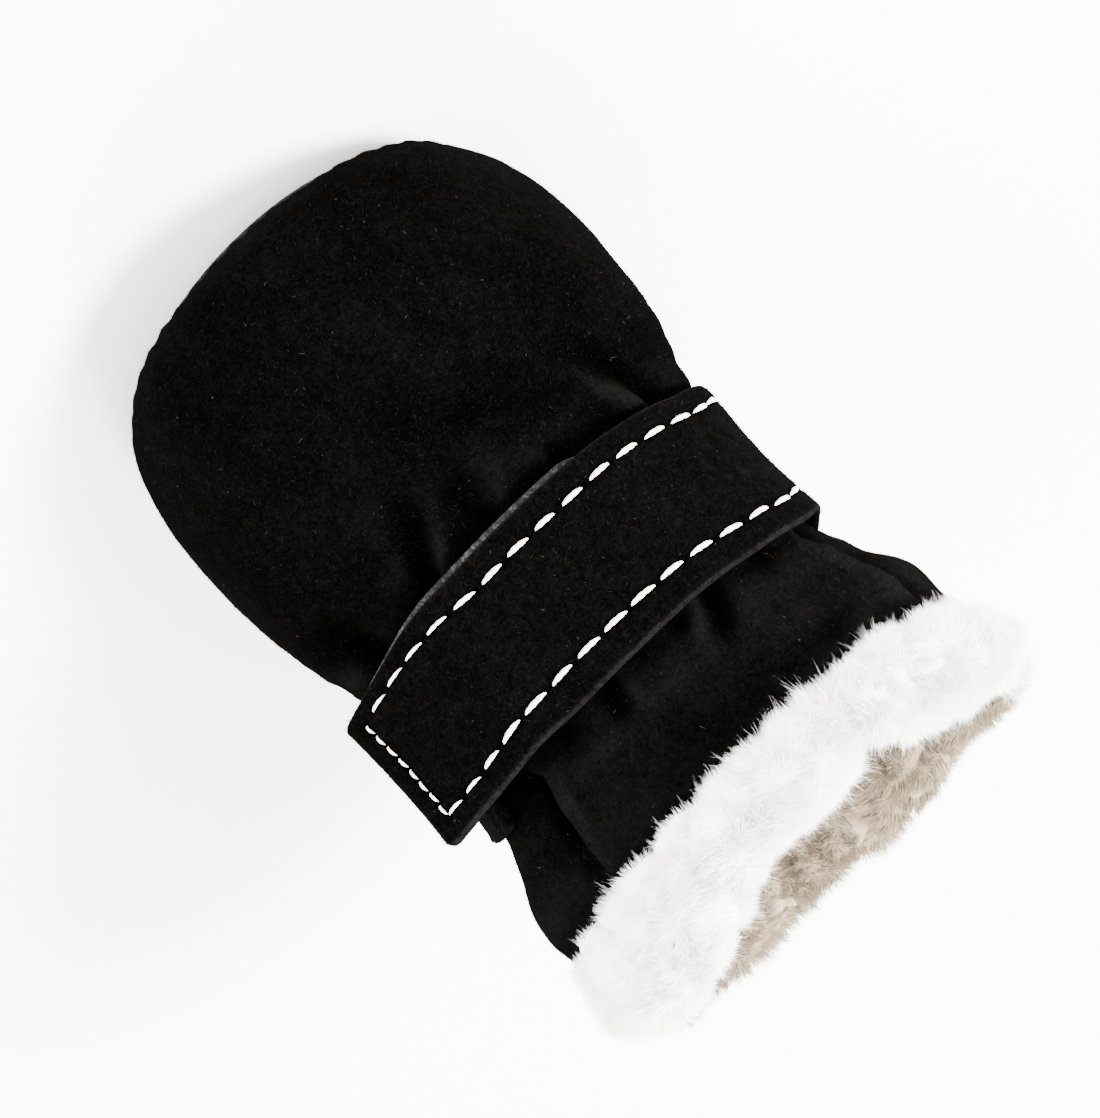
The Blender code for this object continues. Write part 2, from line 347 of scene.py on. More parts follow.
def shell_relief(p, n, s, a):
    """How far the suede stands off the plain shell, mm."""
    x, v = slant(p)
    facing = step((n[..., 2] * math.sin(VIEW_EL) - n[..., 1] * math.cos(VIEW_EL) + 0.05) / 0.35)
    d = np.zeros(p.shape[:-1])
    for pts, w, depth, ridge, side in CREASES:
        r, sg, t = polyline(x, v, curve_through(pts, 8))
        amp = 1 - step((t - 0.22) / 0.78)
        wide = w * (0.75 + 1.3 * t)
        q = sg * side * r
        d -= facing * amp * depth * np.exp(-(r / wide) ** 2)
        d += facing * amp * ridge * np.exp(-((q - 1.45 * wide) / (0.70 * wide)) ** 2)
    # side seams: the front panel laps over, the back panel dips, most of all by the strap
    deg = np.degrees(a)
    for seam, sign in ((SEAM_RIGHT, 1), (SEAM_LEFT, -1)):
        t = np.array(seam)[::-1]
        at = np.interp(s, t[:, 0], t[:, 1])
        r = np.radians(deg - at) * section(s)[..., 4] * 0.92 * sign       # mm past the seam, towards the back
        r = np.where(np.abs(r) > 30, 30, r)
        dip = 0.35 + 0.25 * step((s - 9) / 2) + 2.4 * np.exp(-((s - 10.4) / 0.75) ** 2) + 0.6 * np.exp(-((s - 7.2) / 0.6) ** 2)
        d += (0.08 + 0.20 * dip) * (0.3 + 0.7 * step((s - 6) / 2)) * np.exp(-((r + 0.9) / 0.8) ** 2)        # rolled edge of the front panel
        d -= (0.45 + 0.25 * step((s - 8) / 2)) * np.exp(-(r / 0.40) ** 2)                               # the seam's valley
        d -= dip * step((r + 0.2) / 1.1) * np.exp(-np.clip(r - 0.8, 0, None) / (4.5 + 0.8 * dip))
        d += 0.06 * np.sin(s * 8.5 + 2 * noise(p, 4, 3)) * np.exp(-((r + 0.6) / 1.3) ** 2)
    # folds behind the ankle, where the slack shaft leans back
    back = step((np.abs(deg) - 118) / 45)
    for s0, dep, w, seed in ((8.0, 1.7, 0.30, 31), (7.0, 1.1, 0.34, 32), (10.6, 0.7, 0.35, 33)):
        wob = s0 + 0.35 * noise(np.stack([2 * np.cos(a), 2 * np.sin(a), 0 * a], -1), 1.0, seed)
        d -= back * dep * np.exp(-((s - wob) / w) ** 2)
        d += back * dep * 0.6 * np.exp(-((s - wob - 2.2 * w) / (1.3 * w)) ** 2)
    # the turned seam at the sole: pulled in and puckered
    low = np.exp(-(s / 0.75) ** 2)
    arc = np.degrees(a) * 0.43
    d -= 0.25 * low
    pk = np.sin(arc * 2.3 + 1.6 * noise(p, 6, 8)) * (0.6 + 0.4 * noise(p, 9, 9))
    d += 0.22 * np.exp(-((s - 0.35) / 0.7) ** 2) * pk
    # the shaft bellies out at the sides under the cuff
    d += 0.75 * np.exp(-((v - 73.0) / 4.0) ** 2) * step((np.abs(x) - 17) / 6)
    # soft stuffing and hand-made unevenness
    d += 0.55 * noise(p, 15, 1) + 0.22 * noise(p, 6.5, 2) + 0.07 * noise(p, 2.6, 4)
    # the strap squeezes the shaft; nothing pokes out under it
    low, high = strap_rows(deg)
    under = step((s - low + 0.26) / 0.22) * step((high + 0.20 - s) / 0.22)
    d = d * (1 - under) + np.minimum(d - 0.3, -0.1) * under
    lip = np.exp(-((s - low + 0.52) / 0.24) ** 2) + np.exp(-((s - high - 0.48) / 0.24) ** 2)
    d += 0.45 * lip * (0.6 + 0.6 * noise(p, 5, 12))
    d = np.where(d < -1.6, -1.6 - 1.1 * np.tanh((-1.6 - d) / 1.1), d)
    # the last millimetres go under the cuff
    d = d * (1 - 0.7 * step((s - 11.6) / 0.4))
    return d


# --------------------------------------------------------------------------
# materials
# --------------------------------------------------------------------------
class Nodes:
    def __init__(self, name):
        self.mat = bpy.data.materials.new(name)
        self.mat.use_nodes = True
        self.t = self.mat.node_tree
        self.b = self.t.nodes["Principled BSDF"]
        co = self.t.nodes.new("ShaderNodeTexCoord")
        mp = self.t.nodes.new("ShaderNodeMapping")
        mp.inputs["Scale"].default_value = (1000, 1000, 1000)
        self.t.links.new(co.outputs["Object"], mp.inputs["Vector"])
        self.mm = mp.outputs["Vector"]

    def set(self, **kw):
        for k, v in kw.items():
            self.b.inputs[k.replace("_", " ")].default_value = v
        return self

    def noise(self, size, detail=3, rough=0.55, stretch=None, vec=None):
        n = self.t.nodes.new("ShaderNodeTexNoise")
        n.inputs["Scale"].default_value = 1.0 / size
        n.inputs["Detail"].default_value = detail
        n.inputs["Roughness"].default_value = rough
        v = vec or self.mm
        if stretch:
            m = self.t.nodes.new("ShaderNodeMapping")
            m.inputs["Scale"].default_value = stretch
            self.t.links.new(v, m.inputs["Vector"])
            v = m.outputs["Vector"]
        self.t.links.new(v, n.inputs["Vector"])
        return n.outputs["Fac"]

    def voronoi(self, size, feature="F1", out="Distance"):
        n = self.t.nodes.new("ShaderNodeTexVoronoi")
        n.feature = feature
        n.inputs["Scale"].default_value = 1.0 / size
        self.t.links.new(self.mm, n.inputs["Vector"])
        return n.outputs[out]

    def attr(self, name):
        n = self.t.nodes.new("ShaderNodeAttribute")
        n.attribute_name = name
        return n.outputs["Fac"]

    def math(self, op, a, b=0.0, c=None, clamp=False):
        n = self.t.nodes.new("ShaderNodeMath")
        n.operation = op
        n.use_clamp = clamp
        for i, v in enumerate((a, b) if c is None else (a, b, c)):
            if isinstance(v, (int, float)):
                n.inputs[i].default_value = v
            else:
                self.t.links.new(v, n.inputs[i])
        return n.outputs[0]

    def ramp(self, fac, stops):
        n = self.t.nodes.new("ShaderNodeValToRGB")
        e = n.color_ramp.elements
        while len(e) < len(stops):
            e.new(0.5)
        for el, (pos, col) in zip(e, stops):
            el.position = pos
            el.color = (*col, 1.0) if len(col) == 3 else col
        self.t.links.new(fac, n.inputs["Fac"])
        return n.outputs["Color"]

    def mix(self, fac, a, b, blend="MIX"):
        n = self.t.nodes.new("ShaderNodeMix")
        n.data_type = "RGBA"
        n.blend_type = blend
        for sock, v in ((n.inputs[0], fac), (n.inputs[6], a), (n.inputs[7], b)):
            if isinstance(v, (int, float)):
                sock.default_value = v
            elif isinstance(v, tuple):
                sock.default_value = (*v, 1.0)
            else:
                self.t.links.new(v, sock)
        return n.outputs[2]

    def bump(self, height, dist, strength=1.0, normal=None):
        n = self.t.nodes.new("ShaderNodeBump")
        n.inputs["Strength"].default_value = strength
        n.inputs["Distance"].default_value = dist / 1000.0
        self.t.links.new(height, n.inputs["Height"])
        if normal is not None:
            self.t.links.new(normal, n.inputs["Normal"])
        return n.outputs["Normal"]

    def link(self, out, name):
        self.t.links.new(out, self.b.inputs[name])
        return self


def suede(name, base=0.00058, top=5.6):
    m = Nodes(name).set(Roughness=0.95, Metallic=0.0)
    m.b.inputs["Specular IOR Level"].default_value = 0.0
    m.b.inputs["Sheen Weight"].default_value = 0.003
    m.b.inputs["Sheen Roughness"].default_value = 0.5
    m.b.inputs["Sheen Tint"].default_value = (0.66, 0.56, 0.47, 1.0)
    fine = m.noise(0.30, 2, 0.7)
    nap_and_shading = m.noise(0.75, 3, 0.6)
    brush = m.noise(1.6, 2, 0.6, stretch=(1.0, 0.35, 0.8))
    k = m.math("MULTIPLY_ADD", nap_and_shading, 0.65, m.math("MULTIPLY", fine, 1.0))
    k = m.math("ADD", k, m.math("MULTIPLY", brush, 0.35))
    # the mesh attribute adds painted shade in creases and recesses and a painted highlight on ridges and edges
    k = m.math("ADD", m.math("MULTIPLY", k, 0.5), m.math("MULTIPLY_ADD", m.attr("nap_and_shading"), 0.50, -0.25))
    col = m.ramp(k, [
        (0.30, (base * 0.20, base * 0.20, base * 0.21)),
        (0.46, (base * 0.62, base * 0.62, base * 0.64)),
        (0.60, (base * 1.75, base * 1.71, base * 1.73)),
        (0.92, (base * top, base * top * 0.95, base * top * 0.93))])
    # specks of pale lint
    cell = m.voronoi(1.5, "F1", "Distance")
    lint = m.math("LESS_THAN", cell, 0.07)
    pick = m.math("GREATER_THAN", m.noise(1.7, 1, 0.5), 0.62)
    col = m.mix(m.math("MULTIPLY", m.math("MULTIPLY", lint, pick), 0.5), col, (0.022, 0.021, 0.019))
    m.link(col, "Base Color")
    m.link(m.bump(fine, 0.09, 0.9, m.bump(nap_and_shading, 0.16, 0.7)), "Normal")
    return m.mat


# cream inside colours of the plush, darkened well below the pile's own cream as painted shade for the inside of the
# boot
CREAM_AND_SHADE = ((0.235, 0.177, 0.110), (0.148, 0.107, 0.064))


def fur_material(name, tip, root, strand, cream_and_shade=True):
    m = Nodes(name).set(Roughness=0.85, Metallic=0.0)
    m.b.inputs["Specular IOR Level"].default_value = 0.25
    m.b.inputs["Sheen Weight"].default_value = 0.25
    m.b.inputs["Sheen Roughness"].default_value = 0.5
    # the mesh attribute read here carries random tone and painted shade: low values, in the hollows between clumps and
    # at the roots of the pile, take the darker root colour
    tone_and_shade = m.attr("tone_and_shade")
    warm = m.noise(7.0, 2, 0.5)
    k = m.math("ADD", tone_and_shade, m.math("MULTIPLY_ADD", warm, 0.30, -0.15), clamp=True)
    mid = tuple((a * 0.6 + b * 0.4) for a, b in zip(tip, root))
    col = m.ramp(k, [(0.05, root), (0.45, mid), (0.85, tip)])
    if cream_and_shade:
        # the plush is white outside and cream inside, and the cream inside is darkened as painted shade
        inside = m.ramp(k, [(0.05, CREAM_AND_SHADE[1]), (0.85, CREAM_AND_SHADE[0])])
        col = m.mix(m.attr("cream_and_shade"), col, inside)
    m.link(col, "Base Color")
    if not strand:
        h = m.noise(0.34, 3, 0.6)
        m.link(m.bump(h, 0.22, 0.7), "Normal")
    return m.mat


def mat_leatherette():
    m = Nodes("black_leatherette").set(Metallic=0.0)
    m.b.inputs["Specular IOR Level"].default_value = 0.05
    grain = m.voronoi(0.75, "DISTANCE_TO_EDGE", "Distance")
    fine = m.noise(0.28, 3, 0.6)
    wear = m.noise(4.0, 4, 0.6)
    col = m.ramp(wear, [(0.3, (0.0005, 0.00045, 0.00045)), (0.7, (0.0024, 0.0021, 0.0019))])
    m.link(col, "Base Color")
    m.link(m.math("MULTIPLY_ADD", wear, 0.25, 0.42), "Roughness")
    g = m.math("MINIMUM", m.math("MULTIPLY", grain, 5.0), 1.0)
    n = m.bump(g, 0.07, 0.6)
    m.link(m.bump(fine, 0.05, 0.5, n), "Normal")
    return m.mat


def mat_hook():
    m = Nodes("grey_hook_tape").set(Metallic=0.0)
    m.b.inputs["Specular IOR Level"].default_value = 0.08
    n = m.noise(0.30, 3, 0.65)
    rows = m.noise(0.45, 1, 0.5, stretch=(1.0, 0.35, 0.35))
    k = m.math("ADD", m.math("MULTIPLY", n, 0.6), m.math("MULTIPLY", rows, 0.4))
    m.link(m.ramp(k, [(0.33, (0.001, 0.001, 0.001)), (0.52, (0.009, 0.009, 0.010)), (0.74, (0.060, 0.060, 0.064))]), "Base Color")
    m.set(Roughness=0.7)
    m.link(m.bump(k, 0.18, 0.9), "Normal")
    return m.mat


def mat_loop():
    m = Nodes("black_loop_tape").set(Roughness=0.85, Metallic=0.0)
    m.b.inputs["Specular IOR Level"].default_value = 0.0
    m.b.inputs["Sheen Weight"].default_value = 0.004
    n = m.noise(0.32, 4, 0.7)
    c = m.voronoi(0.6, "F1", "Distance")
    k = m.math("ADD", m.math("MULTIPLY", n, 0.6), m.math("MULTIPLY", c, 0.5))
    m.link(m.ramp(k, [(0.3, (0.0004, 0.0004, 0.0004)), (0.6, (0.0010, 0.0010, 0.0010)), (0.8, (0.0032, 0.0031, 0.0031))]), "Base Color")
    m.link(m.bump(k, 0.2, 0.8), "Normal")
    return m.mat


def mat_thread(name, lo, hi, rough=0.42):
    m = Nodes(name).set(Roughness=rough, Metallic=0.0)
    m.b.inputs["Specular IOR Level"].default_value = 0.5
    fib = m.noise(0.12, 2, 0.6, stretch=(0.4, 1.0, 1.0))
    soil = m.noise(3.0, 2, 0.5)
    k = m.math("ADD", m.math("MULTIPLY", fib, 0.5), m.math("MULTIPLY", soil, 0.5))
    m.link(m.ramp(k, [(0.3, lo), (0.6, hi)]), "Base Color")
    m.link(m.bump(fib, 0.03, 0.6), "Normal")
    return m.mat


M_SUEDE = suede("black_suede")
M_STRAP = suede("black_suede_strap", base=0.00068, top=9.5)
M_SOLE = mat_leatherette()
M_HOOK = mat_hook()
M_LOOP = mat_loop()
M_THREAD = mat_thread("white_thread", (0.66, 0.63, 0.58), (0.93, 0.92, 0.89))
M_FIBRE = None
M_FUR = fur_material("white_plush_base", (0.95, 0.945, 0.93), (0.80, 0.765, 0.71), False)
M_STRAND = fur_material("white_plush_pile", (0.98, 0.975, 0.965), (0.92, 0.905, 0.88), True)
# the lining and footbed colours are the plush's cream darkened as painted shade, deep inside the boot
M_LINING = fur_material("shaded_cream_plush_lining", (0.20, 0.148, 0.092), (0.10, 0.072, 0.044), False, False)
M_LINSTR = fur_material("shaded_cream_plush_pile", CREAM_AND_SHADE[0], CREAM_AND_SHADE[1], True, False)


# --------------------------------------------------------------------------
# suede shell
# --------------------------------------------------------------------------
def blur(g, n):
    """A box blur of a grid that closes round its columns."""
    a = np.concatenate([np.repeat(g[:1], n, 0), g, np.repeat(g[-1:], n, 0)])
    a = np.cumsum(np.concatenate([np.zeros((1, g.shape[1])), a]), 0)
    a = (a[2 * n + 1:] - a[:-2 * n - 1]) / (2 * n + 1)
    a = np.concatenate([a[:, -n:], a, a[:, :n]], 1)
    a = np.cumsum(np.concatenate([np.zeros((g.shape[0], 1)), a], 1), 1)
    return (a[:, 2 * n + 1:] - a[:, :-2 * n - 1]) / (2 * n + 1)


def build_upper():
    cols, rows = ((300, 190))
    a = even_angles(cols)
    ss = even_rows(rows, 0.0, RIM)
    S, A = np.meshgrid(ss, a, indexing="ij")
    p, n, _, _ = frame_at(S, A)
    rel = shell_relief(p, n, S, A)
    out = p + n * rel[..., None]
    # painted shade and highlight: the suede's colour is darkened in the troughs, lightened along the ridges and
    # darkened on the vamp just under the strap; it is also lighter from the top of the strap up the shaft
    high = slant(p)[1]
    nap_and_shading = 0.5 + 0.65 * (rel - blur(rel, 5)) + 0.20 * (blur(rel, 3) - blur(rel, 14)) + 0.17 * step((S - 9.4) / 1.2)
    nap_and_shading = nap_and_shading - 0.09 * step((high - 27) / 9) * (1 - step((S - 8.0) / 0.6))
    inner_s = np.linspace(RIM, 0.35, 48)
    rows_in = []
    for s in inner_s:
        q, m, _, _ = frame_at(np.full(cols, s), a)
        d = shell_relief(q, m, np.full(cols, s), a)
        rows_in.append(q + m * (d - 1.0)[..., None])
    verts = np.concatenate([out.reshape(-1, 3)] + rows_in)
    nap_and_shading = np.concatenate([np.clip(nap_and_shading, 0, 1).ravel(), np.full(len(rows_in) * cols, 0.3)])
    ob = make("suede_upper", verts, torus(rows + len(rows_in), cols), M_SUEDE, attrs={"nap_and_shading": nap_and_shading})
    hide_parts("upper")
    keep = S < 11.9
    root, nn, _, _ = scatter(out, grid_normals(out) * np.sign(np.sum(grid_normals(out) * n)), 56000, keep.astype(float))
    nap_fibres("suede_nap", root, nn)
    return ob


# --------------------------------------------------------------------------
# strands of pile
# --------------------------------------------------------------------------
def scatter(p, n, count, weight=None, wrap_rows=False):
    """count points on a grid of points that closes round its columns, and the normals there."""
    a = p if not wrap_rows else np.concatenate([p, p[:1]], 0)
    b = n if not wrap_rows else np.concatenate([n, n[:1]], 0)
    a = np.concatenate([a, a[:, :1]], 1)
    b = np.concatenate([b, b[:, :1]], 1)
    e1, e2 = a[1:, :-1] - a[:-1, :-1], a[:-1, 1:] - a[:-1, :-1]
    area = np.linalg.norm(np.cross(e1, e2), axis=-1)
    if weight is not None:
        area = area * weight[:area.shape[0], :area.shape[1]]
    cdf = np.cumsum(area.ravel())
    pick = np.searchsorted(cdf, rng.random(count) * cdf[-1])
    i, j = np.divmod(np.minimum(pick, area.size - 1), area.shape[1])
    u, v = rng.random((2, count, 1))
    mixd = lambda g: g[i, j] * (1 - u) * (1 - v) + g[i + 1, j] * u * (1 - v) + g[i, j + 1] * (1 - u) * v + g[i + 1, j + 1] * u * v
    return mixd(a), unit(mixd(b)), i, j


def strands(name, root, grow, tipshift, length, width, tone_and_shade, mat, cream_and_shade=None):
    """Tapered blades, each bent once: a pair at the root, a pair half way and a tip."""
    n = len(root)
    side = unit(np.cross(grow, unit(rng.normal(size=(n, 3)))))
    w = width[:, None] / 2
    L = length[:, None]
    midp = root + grow * L * 0.52 + tipshift * 0.22
    tip = root + grow * L + tipshift
    v = np.stack([root - side * w, root + side * w, midp - side * w * 0.8, midp + side * w * 0.8, tip], 1).reshape(-1, 3)
    k = np.arange(n)[:, None] * 5
    f = np.concatenate([k + [0, 1, 3], k + [0, 3, 2], k + [2, 3, 4]], 0)
    # painted shade: each blade is darker at its root and lighter at its tip
    t = np.stack([tone_and_shade - 0.35, tone_and_shade - 0.35, tone_and_shade - 0.05, tone_and_shade - 0.05, tone_and_shade + 0.15], 1).ravel()
    attrs = {"tone_and_shade": np.clip(t, 0, 1)}
    if cream_and_shade is not None:
        attrs["cream_and_shade"] = np.repeat(np.clip(cream_and_shade, 0, 1), 5)
    return make(name, v, f, mat, smooth=True, attrs=attrs)


def fibre_material():
    m = Nodes("black_suede_fibre").set(Roughness=0.95, Metallic=0.0)
    m.b.inputs["Specular IOR Level"].default_value = 0.0
    m.link(m.ramp(m.attr("tone_and_shade"), [(0.0, (0.0006, 0.0006, 0.0006)), (0.55, (0.0030, 0.0027, 0.0024)),
                                   (0.85, (0.008, 0.0072, 0.0064)), (1.0, (0.026, 0.024, 0.021))]), "Base Color")
    return m.mat


def nap_fibres(name, root, n):
    """Single loose fibres of the suede's nap, lying mostly flat."""
    c = len(root)
    flow = np.stack([noise(root, 6, 201), noise(root, 6, 202), noise(root, 6, 203)], -1)
    rnd = rng.normal(size=(c, 3))
    g = flow * 1.2 + 0.9 * rnd
    g = g - n * np.sum(g * n, -1, keepdims=True)
    g = unit(unit(g) + n * (0.25 + 0.5 * rng.random((c, 1))))
    side = unit(np.cross(g, n))
    ln = (0.28 + 0.35 * rng.random(c) + 0.5 * (rng.random(c) < 0.04))[:, None]
    w = (0.022 + 0.022 * rng.random(c))[:, None]
    r0 = root - n * 0.04
    v = np.stack([r0 - side * w, r0 + side * w, r0 + g * ln], 1).reshape(-1, 3)
    f = np.arange(3 * c).reshape(-1, 3)
    tn = np.clip(rng.beta(1.5, 3.0, c) + (rng.random(c) < 0.008) * 0.5, 0, 1)
    ob = make(name, v, f, M_FIBRE, smooth=False, attrs={"tone_and_shade": np.repeat(tn, 3)})


# --------------------------------------------------------------------------
# the cuff
# --------------------------------------------------------------------------
ROLL = [(-5.7, 0.3), (0.8, 0.3), (1.5, 1.5), (1.8, 4.3), (1.2, 7.0), (-0.6, 8.8),
        (-2.9, 9.0), (-5.0, 7.8), (-6.4, 5.2), (-6.6, 2.0)]


def closed_curve(pts, n):
    p = np.asarray(pts, float)
    out = []
    for i in range(len(p)):
        a, b, c, d = p[i - 1], p[i], p[(i + 1) % len(p)], p[(i + 2) % len(p)]
        for f in np.linspace(0, 1, 16, endpoint=False):
            out.append(0.5 * (2 * b + (c - a) * f + (2 * a - 5 * b + 4 * c - d) * f**2 + (3 * b - a - 3 * c + d) * f**3))
    q = np.array(out + out[:1])
    L = np.concatenate([[0], np.cumsum(np.linalg.norm(np.diff(q, axis=0), axis=1))])
    t = np.linspace(0, L[-1], n, endpoint=False)
    return np.column_stack([np.interp(t, L, q[:, 0]), np.interp(t, L, q[:, 1])])


def build_cuff():
    cols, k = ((300, 72))
    a = even_angles(cols, 12.0)
    p0, n0, t0, r0 = frame_at(np.full(cols, RIM), a)
    prof = closed_curve(ROLL, k)
    mid = np.array([-2.2, 4.7])
    # the roll is hand turned: it is fatter and thinner round the collar, and leans in and out
    around = np.stack([np.cos(a) * 30, np.sin(a) * 30, 0 * a], -1)
    fat = 1.0 + 0.07 * noise(around, 11, 40) + 0.04 * noise(around, 5, 41) - 0.14 * np.sin(a) ** 6
    lift = 1.5 * step((-p0[:, 0] - 18) / 8) * step((np.cos(a) + 0.3) / 0.5)
    crest = np.array([(-30, 0.0), (-27, 0.6), (-22, 1.2), (-18, 0.9), (-14, -0.2), (-10.5, -3.4), (-8, -0.9), (-5, -0.1),
                      (0, -1.1), (5, -1.5), (9, -0.8), (13, 1.9), (18, 3.8), (24, 3.4), (28, 1.4), (30, 0.6)])
    near = step((np.cos(a) + 0.15) / 0.5)
    drop = near * (np.interp(p0[:, 0], crest[:, 0], crest[:, 1]) - 0.4) + (1 - near) * (0.6 * noise(around, 9, 42) - 0.2)
    drop = drop + 0.3 * noise(around, 5, 43)
    pts = np.empty((k, cols, 3))
    for i, (r, h) in enumerate(prof):
        rr = mid[0] + (r - mid[0]) * fat
        hh = mid[1] + (h - mid[1]) * (1.0 + 0.5 * (fat - 1)) + drop * step((h - 1.0) / 7.0)
        hh = np.where(r < 0.8, np.maximum(hh, 0.25), hh - 0.5 * step((r - 0.8) / 1.5) * step((5 - hh) / 4))
        hh = hh + lift * step((r - 0.9) / 0.5) * step((5 - h) / 4)
        pts[i] = p0 + n0 * rr[:, None] + t0 * hh[:, None]
    nor = grid_normals(pts, wrap_rows=True)
    c = pts.mean(0, keepdims=True)
    if np.mean(np.sum(nor * (pts - c), -1)) < 0:
        nor = -nor
    f1, f2 = cells(pts, 4.6, 51)
    g1, g2 = cells(pts + 0.35 * np.stack([noise(pts, 1.5, 60), noise(pts, 1.5, 61), noise(pts, 1.5, 62)], -1), 1.9, 52)
    rel = 0.75 * (0.45 - f1) + 0.50 * step((f2 - f1) / 0.25) - 0.25 + 0.42 * (0.45 - g1) + 0.5 * noise(pts, 9, 53)
    rel += 0.10 * noise(pts, 0.7, 54)
    under = np.repeat((step((1.8 - prof[:, 1]) / 1.5) * step((0.6 - prof[:, 0]) / 1.2))[:, None], cols, 1)
    rel = rel * (1 - under)
    base = pts + nor * rel[..., None]
    # painted shade: the roll is lighter on the clump tops and darker in the hollows between them
    tone_and_shade = np.clip(0.50 + 0.55 * (0.42 - f1) + 0.5 * (0.42 - g1) + 0.25 * step((f2 - f1) / 0.3), 0, 1)
    n2 = grid_normals(base, wrap_rows=True)
    if np.mean(np.sum(n2 * nor, -1)) < 0:
        n2 = -n2
    faces = torus(k, cols)
    # faces point out
    e = base.reshape(-1, 3)
    fn = np.cross(e[faces[:, 1]] - e[faces[:, 0]], e[faces[:, 3]] - e[faces[:, 0]])
    if np.mean(np.sum(fn * nor.reshape(-1, 3)[faces[:, 0]], -1)) < 0:
        faces = flip(faces)
    # painted shade: the darkened cream of the inside reaches the crest at the back and stays below it at the front
    farw = step((-np.cos(a) - 0.05) / 0.50)[None, :]
    edge_r = -4.6 + 5.4 * farw + 0.7 * noise(pts, 3.0, 55)
    cream_and_shade = step((edge_r - prof[:, 0][:, None]) / 1.4) * (prof[:, 1] > 0.6)[:, None]
    ob = make("fur_roll", e, faces, M_FUR, attrs={"tone_and_shade": tone_and_shade, "cream_and_shade": cream_and_shade})
    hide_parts("fur_cuff")

    # pile: three pieces of it, outside, top and inside, in small tufts
    total = 150000
    parts = {"fur_pile_outer": ((prof[:, 0] > 0.0) & (prof[:, 1] < 8.2), 0.34, M_STRAND),
             "fur_pile_top": ((prof[:, 1] >= 6.2) & (prof[:, 0] <= 1.6) & (prof[:, 0] > -5.0), 0.37, M_STRAND),
             "fur_pile_inner": ((prof[:, 0] <= -4.4) & (prof[:, 1] > 0.6), 0.29, M_LINSTR)}

    def heading(q, nn, upw, low):
        lean = np.stack([noise(q, 4.2, 70), noise(q, 4.2, 71), noise(q, 4.2, 72)], -1)
        fine = np.stack([noise(q, 1.6, 73), noise(q, 1.6, 74), noise(q, 1.6, 75)], -1)
        return unit(nn + 1.05 * lean + 0.45 * fine - 0.5 * low * upw), lean

    # over the far side the darker inside pile, painted shade, shows right up to the crest
    far = step((-np.cos(a) - 0.05) / 0.50)[None, :] * ((prof[:, 0] < 0.4) & (prof[:, 1] > 4))[:, None]
    for name, (keep, share, mat) in parts.items():
        w = np.repeat(keep.astype(float)[:, None], cols, 1)
        if name == "fur_pile_top":
            w = w * (1 - 0.75 * far)
        if name == "fur_pile_inner":
            w = np.maximum(w, 0.75 * far)
        cnt = int(total * share)
        root, nn, i, j = scatter(base, n2, cnt, w, wrap_rows=True)
        i = i % k
        j = j % cols
        upw = t0[j]
        low = step((3.0 - prof[i, 1]) / 3.0)[:, None] * (prof[i, 0] > -3)[:, None]
        grow, lean = heading(root, nn, upw, low)
        ln = 2.25 + 0.55 * noise(root, 3.0, 76) + 0.3 * rng.normal(size=cnt)
        ln = ln * (1 - 0.50 * low[:, 0]) * (1 - 0.25 * (prof[i, 0] < -2.5))
        crestw = step((prof[i, 1] - 7.0) / 1.0) * step((np.cos(a[j]) + 0.1) / 0.4)
        wisp = rng.random(cnt) < 0.010 + 0.07 * low[:, 0] + 0.06 * crestw
        ln = ln * (1 - 0.30 * np.abs(np.sin(a[j])) ** 6)
        ln = np.clip(ln, 0.7, 3.2) * np.where(wisp, 1.35 + (0.9 * low[:, 0] + 0.4 * crestw) * rng.random(cnt), 1.0)
        # tufts draw their pile together towards the tip
        hub = nearest(root + 0.25 * rng.normal(size=(cnt, 3)), 1.15, 77)
        hub = hub - nn * np.sum((hub - root) * nn, -1, keepdims=True)
        gh, lh = heading(hub, nn, upw, low)
        tuft = hub + gh * (2.2 + 0.5 * noise(hub, 3.0, 76))[:, None] * (1 - 0.5 * low)
        pull = np.where(wisp, 0.05, 0.20 + 0.35 * rng.random(cnt))[:, None] * (1 - 0.55 * low)
        shift = (tuft - (root + grow * ln[:, None])) * pull
        shift = shift + ln[:, None] * (0.10 * rng.normal(size=(cnt, 3)) + np.array([0, 0, -0.10]))
        wd = np.where(wisp, 0.026, 0.055 + 0.03 * rng.random(cnt)) * (1 - 0.35 * low[:, 0])
        # each blade takes half the roll's painted shade at its root, plus random tone
        tn = tone_and_shade[i, j] * 0.5 + 0.46 + 0.06 * rng.normal(size=cnt)
        st = strands(name, root - nn * 0.3, grow, shift, ln, wd, np.clip(tn, 0, 1), mat,
                     cream_and_shade=cream_and_shade[i, j] if mat is M_STRAND else None)
    return ob


